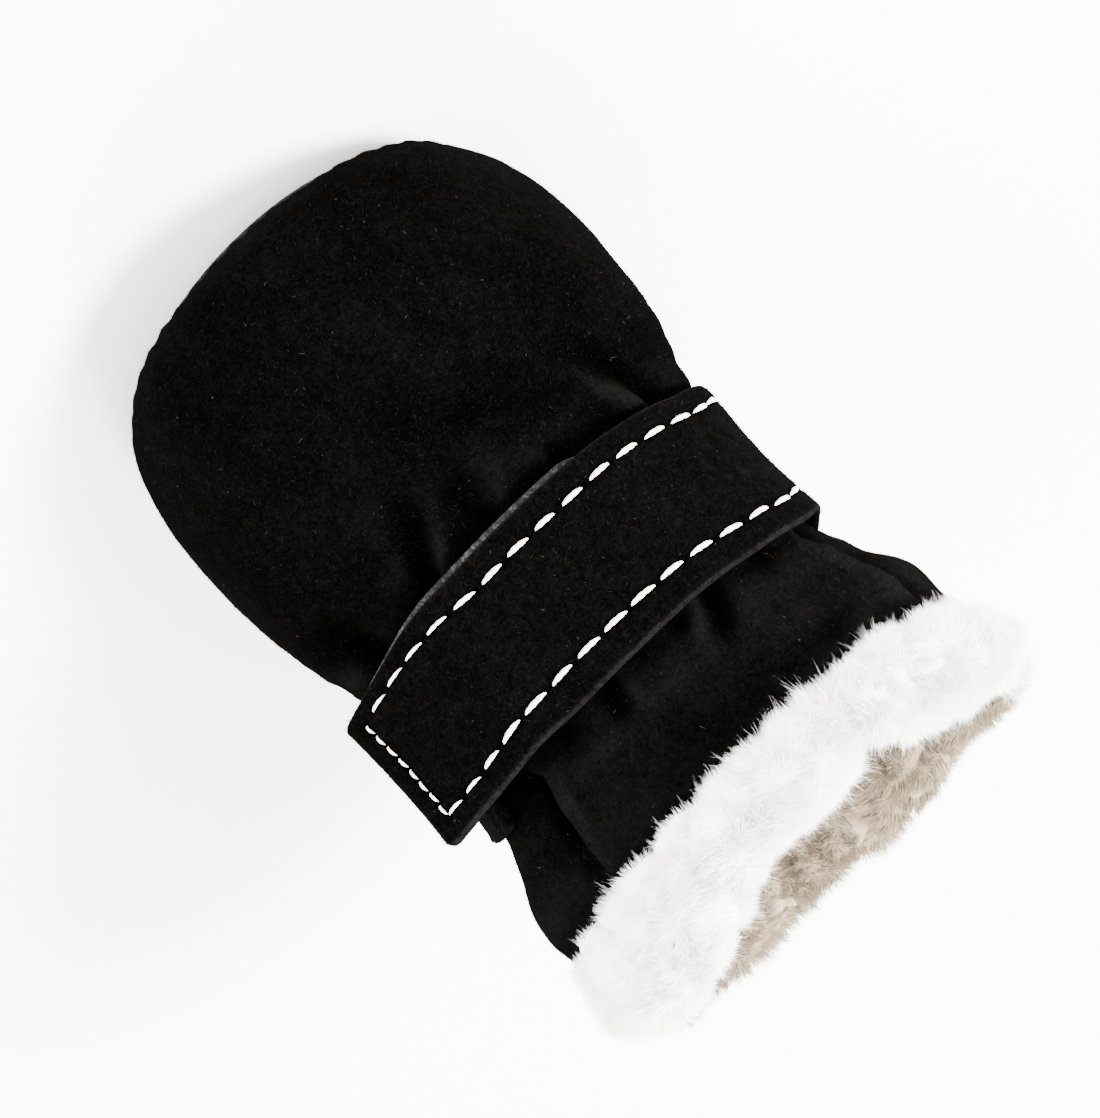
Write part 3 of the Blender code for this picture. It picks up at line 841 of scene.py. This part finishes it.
# --------------------------------------------------------------------------
# lining and footbed
# --------------------------------------------------------------------------
def build_lining():
    cols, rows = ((180, 90))
    a = even_angles(cols)
    ss = even_rows(rows, 1.9, RIM)[::-1]
    S, A = np.meshgrid(ss, a, indexing="ij")
    p, n, t, _ = frame_at(S, A)
    p = p - n * WALL
    f1, f2 = cells(p, 4.2, 81)
    g1, _ = cells(p, 1.8, 82)
    rel = 0.8 * (0.45 - f1) + 0.35 * step((f2 - f1) / 0.3) + 0.45 * (0.45 - g1) + 0.5 * noise(p, 8, 83) - 0.2
    sink = np.minimum(0, shell_relief(p + n * WALL, n, S, A) + 1.9)
    inn = p - n * (rel - sink)[..., None]
    # painted shade: the lining is lighter on the clump tops and darker in the hollows between them
    tone_and_shade = np.clip(0.45 + 0.6 * (0.42 - f1) + 0.5 * (0.42 - g1) + 0.2, 0, 1)
    back = []
    for s in np.linspace(1.9, RIM, 36):
        q, m, _, _ = frame_at(np.full(cols, s), a)
        back.append(q + m * np.minimum(-2.6, shell_relief(q, m, np.full(cols, s), a) - 1.5)[:, None])
    verts = np.concatenate([inn.reshape(-1, 3)] + back)
    ob = make("plush_lining", verts, torus(rows + 36, cols), M_LINING,
              attrs={"tone_and_shade": np.concatenate([tone_and_shade.ravel(), np.full(36 * cols, 0.4)])})
    cnt = 25000
    w = step((S - 6.5) / 4.5) + 0.12
    root, nn, i, j = scatter(inn[::-1], -n[::-1], cnt, w[::-1])
    lean = np.stack([noise(root, 2.2, 84), noise(root, 2.2, 85), noise(root, 2.2, 86)], -1)
    grow = unit(nn + 0.55 * lean + 0.2 * rng.normal(size=(cnt, 3)))
    ln = np.clip(1.5 + 0.4 * noise(root, 3, 87) + 0.25 * rng.normal(size=cnt), 0.6, 2.4)
    shift = ln[:, None] * (0.2 * lean + 0.1 * rng.normal(size=(cnt, 3)) + np.array([0, 0, -0.12]))
    st = strands("lining_pile", root - nn * 0.2, grow, shift, ln, 0.11 + 0.03 * rng.random(cnt),
                 np.clip(0.62 + 0.15 * rng.normal(size=cnt) + 0.2 * noise(root, 3, 88), 0, 1), M_LINSTR)


def build_footbed():
    cols = 150
    a = even_angles(cols, 0.0)
    edge = outline(-3.4, a)
    mid = np.array([0.0, ORIGIN_Y])
    z0, z1 = SOLE_T + GAP, SOLE_T + GAP + FOOTBED_T
    rings = []
    for k in np.linspace(0.04, 0.96, 12):
        rings.append(level(mid + (edge - mid) * k, z0))
    for k, z in ((0.985, z0 + 0.1), (1.0, z0 + 0.7), (1.0, z0 + 1.6), (0.985, z1 - 0.6), (0.96, z1 - 0.15)):
        rings.append(level(mid + (edge - mid) * k, z))
    top = np.linspace(0.93, 0.04, 46)
    for k in top:
        q = level(mid + (edge - mid) * k, z1)
        f1, _ = cells(q, 3.6, 91)
        g1, _ = cells(q, 1.6, 92)
        q[:, 2] += 0.5 * (0.45 - f1) + 0.3 * (0.45 - g1) + 0.25 * noise(q, 9, 93)
        rings.append(q)
    v = np.concatenate([np.array([[0, ORIGIN_Y, z0]])] + rings + [np.array([[0, ORIGIN_Y, z1]])])
    n = len(rings)
    r = np.arange(n - 1)[:, None] * cols + 1
    c = np.arange(cols)[None, :]
    c2 = (c + 1) % cols
    f = np.stack([r + c, r + c2, r + cols + c2, r + cols + c], -1).reshape(-1, 4)
    lowc = np.stack([np.zeros(cols, int), 1 + (np.arange(cols) + 1) % cols, 1 + np.arange(cols)], -1)
    base = 1 + (n - 1) * cols
    topc = np.stack([base + np.arange(cols), base + (np.arange(cols) + 1) % cols, np.full(cols, base + cols)], -1)
    tri = np.concatenate([f[:, [0, 1, 2]], f[:, [0, 2, 3]], lowc, topc])
    tone_and_shade = np.clip(0.5 + 0.3 * noise(v, 2.2, 94), 0, 1)
    ob = make("footbed_plush", v, tri, M_LINING, attrs={"tone_and_shade": tone_and_shade})
    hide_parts("insole")


# --------------------------------------------------------------------------
# sole
# --------------------------------------------------------------------------
def build_sole():
    cols = 360
    a = even_angles(cols, 0.0)
    mid = np.array([0.0, ORIGIN_Y])
    plain = outline(0.0, a)
    arc = np.concatenate([[0], np.cumsum(np.linalg.norm(np.diff(plain, axis=0), axis=1))])
    flat3 = np.column_stack([plain, np.zeros(cols)])
    pk = np.sin(arc * 2 * math.pi / 2.4 + 1.8 * noise(flat3, 7, 101)) * (0.55 + 0.45 * noise(flat3, 8, 102))
    wob = 0.18 * pk + 0.18 * noise(flat3, 5, 103)
    toe = step((plain[:, 1].min() + 16 - plain[:, 1]) / 14)
    rings = []
    # underside, from the middle out, then round the edge and over the lip
    for k in np.linspace(0.03, 0.91, 20):
        q = mid + (plain - mid) * k
        rings.append(level(q, 0.55 * toe * k**6))
    edge = [(-0.55, 0.0), (-0.22, 0.14), (0.04, 0.45), (0.20, 0.85), (0.28, 1.3), (0.28, 1.75), (0.18, 2.15),
            (0.02, 2.40), (-0.20, 2.48), (-0.42, 2.40), (-0.9, 2.25), (-1.6, 2.25)]
    for i, (d, z) in enumerate(edge):
        amp = step(z / 0.9)
        q = outline(d + wob * amp - 1.3 * toe, a)
        zz = z + 1.1 * toe * max(0.0, 1 - z / 2.4) * (0.7 if z == 0 else 1.0) + 0.16 * pk * step((z - 0.9) / 1.0) * (1 if d > -0.5 else 0.0)
        rings.append(level(q, zz))
    for k in np.linspace(0.90, 0.05, 8):
        rings.append(level(mid + (plain - mid) * k, 2.25))
    v = np.concatenate([np.array([[0, ORIGIN_Y, 0.0]])] + rings + [np.array([[0, ORIGIN_Y, 2.25]])])
    n = len(rings)
    r = np.arange(n - 1)[:, None] * cols + 1
    c = np.arange(cols)[None, :]
    c2 = (c + 1) % cols
    f = np.stack([r + c, r + c2, r + cols + c2, r + cols + c], -1).reshape(-1, 4)
    lowc = np.stack([np.zeros(cols, int), 1 + (np.arange(cols) + 1) % cols, 1 + np.arange(cols)], -1)
    base = 1 + (n - 1) * cols
    topc = np.stack([base + np.arange(cols), base + (np.arange(cols) + 1) % cols, np.full(cols, base + cols)], -1)
    tri = np.concatenate([f[:, [0, 1, 2]], f[:, [0, 2, 3]], lowc, topc])
    ob = make("sole_leatherette", v, tri, M_SOLE)
    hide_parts("outsole")


# --------------------------------------------------------------------------
# strap
# --------------------------------------------------------------------------
STRAP_N = 280           # stations along the strap


class Strap:
    """The strap's outer face as a grid: along (from its root at the back to
    its free end at +X) and across (-1 toe side, 1 collar side)."""

    def __init__(self):
        deg = np.linspace(STRAP_ROOT, STRAP_LEAVE, 500)
        self.u = np.linspace(-1.12, 1.12, 57)
        low, high = strap_rows(deg)
        d = 1.65 + 0.85 * step((deg + 40) / 25) + 1.6 * step((deg - 15) / 15)
        S = (low + high)[None] / 2 + self.u[:, None] * (high - low)[None] / 2
        D = np.broadcast_to(np.radians(deg)[None], S.shape)
        p, n, _, ro = frame_at(S, D)
        q = p + n * d[None, :, None]
        run = unit(ro[:, -1].mean(0))
        t = np.linspace(0.15, STRAP_END, 90)
        mid = q[len(self.u) // 2, -1]
        arm = (q[:, -1] - mid)[:, None]
        w = np.radians(STRAP_TWIST * t / STRAP_END)[None, :, None]
        far = (mid + arm * np.cos(w) + np.cross(run, arm) * np.sin(w) + run * (arm @ run)[..., None] * (1 - np.cos(w))
               + run * (t[None] - STRAP_SLANT * self.u[:, None] * STRAP_W / 2 * t[None] / STRAP_END)[..., None])
        q = np.concatenate([q, far], 1)
        m = q[len(self.u) // 2]
        L = np.concatenate([[0], np.cumsum(np.linalg.norm(np.diff(m, axis=0), axis=1))])
        self.length = L[-1]
        self.front = np.interp(0.0, deg, L[:len(deg)])          # at the middle of the front
        self.leave = L[len(deg) - 1]
        self.l = np.linspace(0, self.length, 700)
        g = np.stack([np.stack([np.interp(self.l, L, q[i, :, k]) for k in range(3)], -1) for i in range(len(self.u))])
        # ease the corner where the end leaves the shaft
        dl = self.l[1]
        w = int(3.2 / dl)
        ker = np.hanning(2 * w + 3)
        ker /= ker.sum()
        pad = len(ker) // 2
        ext = np.concatenate([2 * g[:, :1] - g[:, pad:0:-1], g, 2 * g[:, -1:] - g[:, -2:-pad - 2:-1]], 1)
        sm = sum(ker[i] * ext[:, i:i + g.shape[1]] for i in range(len(ker)))
        mixw = step((self.l - self.front + 6) / 6)[None, :, None]
        g = g * (1 - mixw) + sm * mixw
        # the strap waves a little, more towards its free end
        tail = step((self.l - self.leave) / (self.length - self.leave))
        self.g = g
        self.n = unit(np.cross(np.gradient(g, axis=1), np.gradient(g, axis=0)))
        self.n += 0
        wave = 0.16 * noise(g, 9, 111) + 0.07 * noise(g, 4, 112)
        self.g = g + self.n * wave[..., None] * (0.4 + 0.6 * tail[None, :, None])
        self.n = unit(np.cross(np.gradient(self.g, axis=1), np.gradient(self.g, axis=0)))

    def at(self, l, u):
        """Point, normal, direction along and direction across."""
        fu = np.interp(u, self.u, np.arange(len(self.u)))
        fl = np.interp(l, self.l, np.arange(len(self.l)))
        i = np.clip(np.floor(fu).astype(int), 0, len(self.u) - 2)
        j = np.clip(np.floor(fl).astype(int), 0, len(self.l) - 2)
        a, b = (fu - i)[..., None], (fl - j)[..., None]
        get = lambda g: (g[i, j] * (1 - a) * (1 - b) + g[i + 1, j] * a * (1 - b) + g[i, j + 1] * (1 - a) * b + g[i + 1, j + 1] * a * b)
        p, n = get(self.g), unit(get(self.n))
        t = unit(get(np.broadcast_to(np.gradient(self.g, axis=1), self.g.shape)))
        t = unit(t - n * np.sum(t * n, -1, keepdims=True))
        return p, n, t, np.cross(n, t)


STRAP = Strap()
END_IN = 2.6            # stitch row across the end


def row_in(l):
    """How far the stitch rows sit from the strap's long edges, mm."""
    return 3.8 - 0.9 * step((l - STRAP.front - 6) / 16) - 0.5 * step((STRAP.front - 4 - l) / 18)



PITCH, STITCH = 3.85, 2.95


def stitch_list():
    """Each stitch: (start l, start u, end l, end u, half width)."""
    out = []
    r = np.random.default_rng(5)
    last = STRAP.length - END_IN
    for side, phase in ((-1, 1.35), (1, 3.25)):
        k0 = int((STRAP.front - 3) / PITCH)
        l = STRAP.front + phase - k0 * PITCH
        while l < last - 0.2:
            room = max(0.0, min(1.0, (last - l) / 14.0))
            pitch = PITCH * (0.80 + 0.20 * room)
            ln = STITCH * (0.78 + 0.22 * room) * (1 + 0.05 * r.normal())
            b = min(l + ln / 2, last + 0.2)
            a = max(l - ln / 2, 0.8)
            ua, ub = (side * (1 - row_in(q) / (STRAP_W / 2)) for q in (a, b))
            thin = 1 - 0.36 * (step((l - STRAP.front - 6) / 10) if side < 0 else step((l - STRAP.front - 15) / 8))
            out.append((a, ua + 0.006 * r.normal(), b, ub + 0.006 * r.normal(), 0.28 * thin))
            l += pitch
    n = 8
    lim = 1 - row_in(last) / (STRAP_W / 2)
    step_u = 2 * lim / n
    for k in range(n):
        u0 = -lim + (k + 0.09) * step_u
        u1 = -lim + (k + 0.91) * step_u
        out.append((last + 0.05 * r.normal(), u0, last + 0.05 * r.normal(), u1, 0.16))
    return out


STITCHES = stitch_list()


def strap_height(l, u):
    """Height of the suede's face over the carrier, with its round edges, its
    sewn-down rows and a dimple where each stitch goes in."""
    half = STRAP_W / 2
    ed = (1 - np.abs(u)) * half
    q = STRAP.length - l
    e = np.minimum(ed, q)
    R = 0.6
    k = np.clip(e, 0, R)
    h = -(R - np.sqrt(np.maximum(R * R - (R - k) ** 2, 0)))
    row = row_in(l)
    h = h - 0.20 * np.clip(1 - e / row, 0, 1)
    h = h - 0.20 * np.exp(-((ed - row) / 0.5) ** 2) * step((q - END_IN + 0.8) / 0.8)
    h = h - 0.14 * np.exp(-((q - END_IN) / 0.45) ** 2) * step((ed - row + 0.8) / 0.8)
    for la, ua, lb, ub, w in STITCHES:
        for lc, uc in ((la, ua), (lb, ub)):
            m = (np.abs(l - lc) < 1.4) & (np.abs(u - uc) < 0.14)
            if m.any():
                r2 = (l[m] - lc) ** 2 + ((u[m] - uc) * half) ** 2
                h[m] -= 0.34 * np.exp(-r2 / (2 * 0.30**2))
        # the middle of each stitch, which nothing uses
        lm, um = (la + lb) / 2, (ua + ub) / 2
    return h


def build_strap():
    T = 1.3
    n_l = STRAP_N
    m = 58
    l = STRAP.length - np.concatenate([np.linspace(STRAP.length - 0.2, 1.2, n_l - 10), np.array([1.0, 0.8, 0.62, 0.46, 0.32, 0.2, 0.12, 0.06, 0.02, 0.0])])
    edge = np.array([0, 0.02, 0.07, 0.15, 0.27, 0.42, 0.6, 0.85])
    x = np.concatenate([edge, np.linspace(1.15, 18.85, m - 16), 20 - edge[::-1]])
    u = x / 10 - 1
    L, U = np.meshgrid(l, u, indexing="ij")
    # round the two corners of the free end
    Rc = 1.5
    q = STRAP.length - L
    cut = np.where(q < Rc, Rc - np.sqrt(np.maximum(Rc**2 - (Rc - q) ** 2, 0)), 0)
    Ux = U * (1 - cut / 10)
    h = strap_height(L.copy(), U.copy())
    p, n, _, _ = STRAP.at(L, Ux)
    h = h + 0.05 * noise(p, 1.7, 121) + 0.03 * noise(p, 0.8, 122)
    top = p + n * h[..., None]
    e = np.minimum((1 - np.abs(U)) * 10, q)
    rb = 0.35
    kb = np.clip(e, 0, rb)
    hb = -T + (rb - np.sqrt(np.maximum(rb * rb - (rb - kb) ** 2, 0)))
    bot = p + n * hb[..., None]
    # loops: top from low to high, bottom from high to low
    k = 2 * len(u)
    loop = np.concatenate([top, bot[:, ::-1]], 1)
    v = loop.reshape(-1, 3)
    # painted shade and highlight: darker where the face is rounded off, sewn down or dimpled by a stitch, and lighter
    # along the edges
    strap_top_shading = np.clip(0.5 + 0.4 * (h + 0.12) + 0.9 * np.exp(-(e / 0.30) ** 2) + 0.12 * np.exp(-(e / 0.8) ** 2), 0, 1)
    nap_and_shading = np.concatenate([strap_top_shading, np.full(bot.shape[:2], 0.3)], 1)
    i = np.arange(len(l) - 1)[:, None]
    j = np.arange(k)[None, :]
    j2 = (j + 1) % k
    f = np.stack([i * k + j, i * k + j2, (i + 1) * k + j2, (i + 1) * k + j], -1).reshape(-1, 4)
    caps = []
    for b, fl in ((0, False), ((len(l) - 1) * k, True)):
        jj = np.arange(len(u) - 1)
        c = np.stack([b + jj, b + k - 1 - jj, b + k - 2 - jj, b + jj + 1], -1)
        caps.append(flip(c) if fl else c)
    f = np.concatenate([f] + caps)
    a0, a1, a3 = v[f[:, 0]], v[f[:, 1]], v[f[:, 3]]
    mid = f.shape[0] // 2
    nn = np.cross(a1 - a0, a3 - a0)
    # the outer face has to point along its normal
    kf = np.arange(len(f) - sum(len(c) for c in caps)).reshape(len(l) - 1, k)
    probe = kf[n_l // 2, len(u) // 2]
    if np.dot(nn[probe], n[n_l // 2, len(u) // 2]) < 0:
        f = flip(f)
    ob = make("suede_strap", v, f, M_STRAP, attrs={"nap_and_shading": nap_and_shading})
    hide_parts("strap")
    c = 15000
    lr = STRAP.length * rng.random(c)
    ur = 2 * rng.random(c) - 1
    hr = strap_height(lr.copy(), ur.copy())
    pr, nr, _, _ = STRAP.at(lr, ur)
    nap_fibres("strap_nap", pr + nr * hr[:, None], nr)
    return ob


def build_stitches():
    seg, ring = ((18, 10))
    V, F = [], []
    base = 0
    half = STRAP_W / 2
    for n, (la, ua, lb, ub, w) in enumerate(STITCHES):
        t = np.linspace(0, 1, seg)
        l = la + (lb - la) * t
        u = ua + (ub - ua) * t
        p, nr, al, ac = STRAP.at(l, u)
        if abs(ub - ua) * half > abs(lb - la):
            along, across = ac, al
        else:
            along, across = al, ac
        arch = np.sin(math.pi * t)
        lens = np.clip(arch, 0, 1) ** 0.40
        hc = -0.36 + 0.46 * np.clip(arch, 0, 1) ** 0.45
        ph = np.linspace(0, 2 * math.pi, ring, endpoint=False)
        twist = 1 + 0.10 * np.cos(2 * ph[None, :] - (2 * math.pi / 0.95) * (t[:, None] * math.hypot(lb - la, (ub - ua) * half)))
        rw = w * lens[:, None] * twist
        rh = w * 0.72 * lens[:, None] * twist
        c = p + nr * hc[:, None]
        ringp = c[:, None] + across[:, None] * (np.cos(ph)[None, :] * rw)[..., None] + nr[:, None] * (np.sin(ph)[None, :] * rh)[..., None]
        V.append(ringp.reshape(-1, 3))
        i = np.arange(seg - 1)[:, None]
        j = np.arange(ring)[None, :]
        j2 = (j + 1) % ring
        q = np.stack([i * ring + j, i * ring + j2, (i + 1) * ring + j2, (i + 1) * ring + j], -1).reshape(-1, 4) + base
        tri = np.concatenate([q[:, [0, 1, 2]], q[:, [0, 2, 3]]])
        V.append(c[[0, -1]])
        e0, e1 = base + seg * ring, base + seg * ring + 1
        jj = np.arange(ring)
        cap0 = np.stack([np.full(ring, e0), base + (jj + 1) % ring, base + jj], -1)
        lastb = base + (seg - 1) * ring
        cap1 = np.stack([np.full(ring, e1), lastb + jj, lastb + (jj + 1) % ring], -1)
        F.append(np.concatenate([tri, cap0, cap1]))
        base += seg * ring + 2
    ob = make("strap_stitches", np.concatenate(V), np.concatenate(F), M_THREAD)


def build_hook_tape():
    """The hook tape behind the strap; a millimetre of it shows on the toe side."""
    a0 = STRAP.front - 12.5
    l = np.linspace(a0, STRAP.length - 0.9, 200)
    show = step((l - a0) / 5.0) * step((STRAP.length - 2.5 - l) / 3.0)
    lowest = -0.94 - 0.145 * show
    k = 22
    x = np.concatenate([np.linspace(0, 0.22, 12), np.linspace(0.3, 1, k - 12)])
    U = lowest[:, None] + (0.9 - lowest[:, None]) * x[None, :]
    L = np.repeat(l[:, None], k, 1)
    p, n, t, ac = STRAP.at(L, U)
    e = np.minimum((U - lowest[:, None]) * 10, 0.3)
    rnd = 0.3 - np.sqrt(np.maximum(0.09 - (0.3 - e) ** 2, 0))
    rib = 0.07 * np.sin(L * 2 * math.pi / 0.62) * np.sin(U * 10 * 2 * math.pi / 0.7)
    top = p + n * (-1.42 - rnd + rib + 0.05 * noise(p, 0.5, 131))[..., None]
    bot = p + n * (-2.1 + rnd * 0.6)[..., None]
    loop = np.concatenate([top, bot[:, ::-1]], 1)
    kk = 2 * k
    i = np.arange(len(l) - 1)[:, None]
    j = np.arange(kk)[None, :]
    j2 = (j + 1) % kk
    f = np.stack([i * kk + j, i * kk + j2, (i + 1) * kk + j2, (i + 1) * kk + j], -1).reshape(-1, 4)
    caps = []
    for b, fl in ((0, False), ((len(l) - 1) * kk, True)):
        jj = np.arange(k - 1)
        c = np.stack([b + jj, b + kk - 1 - jj, b + kk - 2 - jj, b + jj + 1], -1)
        caps.append(flip(c) if fl else c)
    f = np.concatenate([f] + caps)
    v = loop.reshape(-1, 3)
    nn = np.cross(v[f[:, 1]] - v[f[:, 0]], v[f[:, 3]] - v[f[:, 0]])
    if np.dot(nn[150 * kk // 2 * 0 + (len(l) // 2) * kk + k // 2], n[len(l) // 2, k // 2]) < 0:
        f = flip(f)
    ob = make("hook_tape_edge", v, f, M_HOOK)


def build_tab():
    """The loop-faced tab, sewn on at the back and ending under the strap's end."""
    deg = np.linspace(TAB_FRONT + 6.0, TAB_ROOT, 140)
    f = np.linspace(0, 1, 36)
    F_, D = np.meshgrid(f, np.radians(deg), indexing="xy")      # rows along, columns across
    low, high = (r[:, None] for r in strap_rows(deg))
    # it is sewn on a little askew, so its front end shows above the strap
    rise = 0.22 * (1 - step((deg - TAB_FRONT - 25) / 50))[:, None]
    low, high = low + rise, high + rise
    S = low + (high - low) * F_
    w = F_ * 20.2
    p, n, _, _ = frame_at(S, D)
    L = np.concatenate([[0], np.cumsum(np.linalg.norm(np.diff(p[:, 18], axis=0), axis=1))])[:, None]
    Rc = 0.4
    cut = np.where(L < Rc, Rc - np.sqrt(np.maximum(Rc**2 - (Rc - L) ** 2, 0)), 0)
    Sx = (low + high) / 2 + (S - (low + high) / 2) * (1 - cut / 10.1)
    p, n, _, _ = frame_at(Sx, D)
    e = np.minimum(np.minimum(w, 20.2 - w), L)
    R = 0.4
    k = np.clip(e, 0, R)
    rnd = R - np.sqrt(np.maximum(R * R - (R - k) ** 2, 0))
    top = p + n * (1.5 - rnd - 0.12 * np.exp(-((e - 1.4) / 0.3) ** 2) + 0.06 * noise(p, 0.6, 141) + 0.06 * noise(p, 2.0, 142))[..., None]
    bot = p + n * (0.32 + rnd * 0.5)[..., None]
    loop = np.concatenate([top, bot[:, ::-1]], 1)
    kk = 2 * len(f)
    i = np.arange(len(deg) - 1)[:, None]
    j = np.arange(kk)[None, :]
    j2 = (j + 1) % kk
    ns = len(f)
    f = np.stack([i * kk + j, i * kk + j2, (i + 1) * kk + j2, (i + 1) * kk + j], -1).reshape(-1, 4)
    caps = []
    for b, fl in ((0, False), ((len(deg) - 1) * kk, True)):
        jj = np.arange(ns - 1)
        c = np.stack([b + jj, b + kk - 1 - jj, b + kk - 2 - jj, b + jj + 1], -1)
        caps.append(flip(c) if fl else c)
    f = np.concatenate([f] + caps)
    v = loop.reshape(-1, 3)
    nn = np.cross(v[f[:, 1]] - v[f[:, 0]], v[f[:, 3]] - v[f[:, 0]])
    if np.dot(nn[(len(deg) // 2) * kk + ns // 2], n[len(deg) // 2, ns // 2]) < 0:
        f = flip(f)
    ob = make("loop_tab_tape", v, f, M_LOOP)
    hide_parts("loop_tab")


# --------------------------------------------------------------------------
# floor, light, camera
# --------------------------------------------------------------------------
def build_stage():
    me = bpy.data.meshes.new("floor")
    r = 3.0
    me.from_pydata([(-r, -r, -0.0002), (r, -r, -0.0002), (r, r, -0.0002), (-r, r, -0.0002)], [], [(0, 1, 2, 3)])
    fl = bpy.data.objects.new("floor", me)
    bpy.context.scene.collection.objects.link(fl)
    m = bpy.data.materials.new("floor_pale")
    m.use_nodes = True
    b = m.node_tree.nodes["Principled BSDF"]
    b.inputs["Base Color"].default_value = (0.92, 0.92, 0.915, 1)
    b.inputs["Roughness"].default_value = 0.9
    me.materials.append(m)

    world = bpy.context.scene.world or bpy.data.worlds.new("world")
    bpy.context.scene.world = world
    world.use_nodes = True
    bg = world.node_tree.nodes.get("Background") or world.node_tree.nodes.new("ShaderNodeBackground")
    bg.inputs["Color"].default_value = (1.0, 1.0, 1.0, 1)
    bg.inputs["Strength"].default_value = 3.9

    def area(name, loc, size, power, col=(1, 1, 1)):
        d = bpy.data.lights.new(name, "AREA")
        d.shape = "DISK"
        d.size = size
        d.energy = power
        d.color = col
        o = bpy.data.objects.new(name, d)
        bpy.context.scene.collection.objects.link(o)
        o.location = loc
        o.rotation_euler = (Vector((0, 0.01, 0.035)) - Vector(loc)).to_track_quat("-Z", "Y").to_euler()
    area("softbox_key", (-0.42, 0.05, 0.70), 0.30, 52.0)
    area("softbox_fill", (0.55, -0.45, 0.45), 0.6, 20.0)
    area("softbox_back", (0.25, 0.65, 0.60), 0.4, 26.0)


def build_camera():
    cam = bpy.data.cameras.new("camera")
    ob = bpy.data.objects.new("camera", cam)
    bpy.context.scene.collection.objects.link(ob)
    bpy.context.scene.camera = ob
    cam.sensor_fit = "VERTICAL"
    cam.sensor_height = 36.0
    span = 0.116                      # height of the frame at the shoe
    cam.lens = 220.0
    dist = cam.lens * span / 36.0
    cam.clip_start = 0.01
    el = VIEW_EL
    back = Vector((0, -math.cos(el), math.sin(el)))
    right = Vector((1, 0, 0))
    up = Vector((0, math.sin(el), math.cos(el)))
    # the middle of the shoe, in the slanted view
    v_mid = 46.8 + TIP_V
    y = 41.0
    z = (v_mid - y * math.sin(el)) / math.cos(el)
    target = Vector((-0.0002, (y - ORIGIN_Y) / 1000, z / 1000))
    roll = math.radians(135.8)
    c_up = -math.sin(roll) * right + math.cos(roll) * up
    c_right = math.cos(roll) * right + math.sin(roll) * up
    m = Matrix((c_right, c_up, back)).transposed().to_4x4()
    m.translation = target + back * dist
    ob.matrix_world = m
    cam.dof.use_dof = False


M_FIBRE = fibre_material()
build_stage()
build_camera()
build_upper()
build_lining()
build_footbed()
build_sole()
build_strap()
build_hook_tape()
build_stitches()
build_tab()
build_cuff()
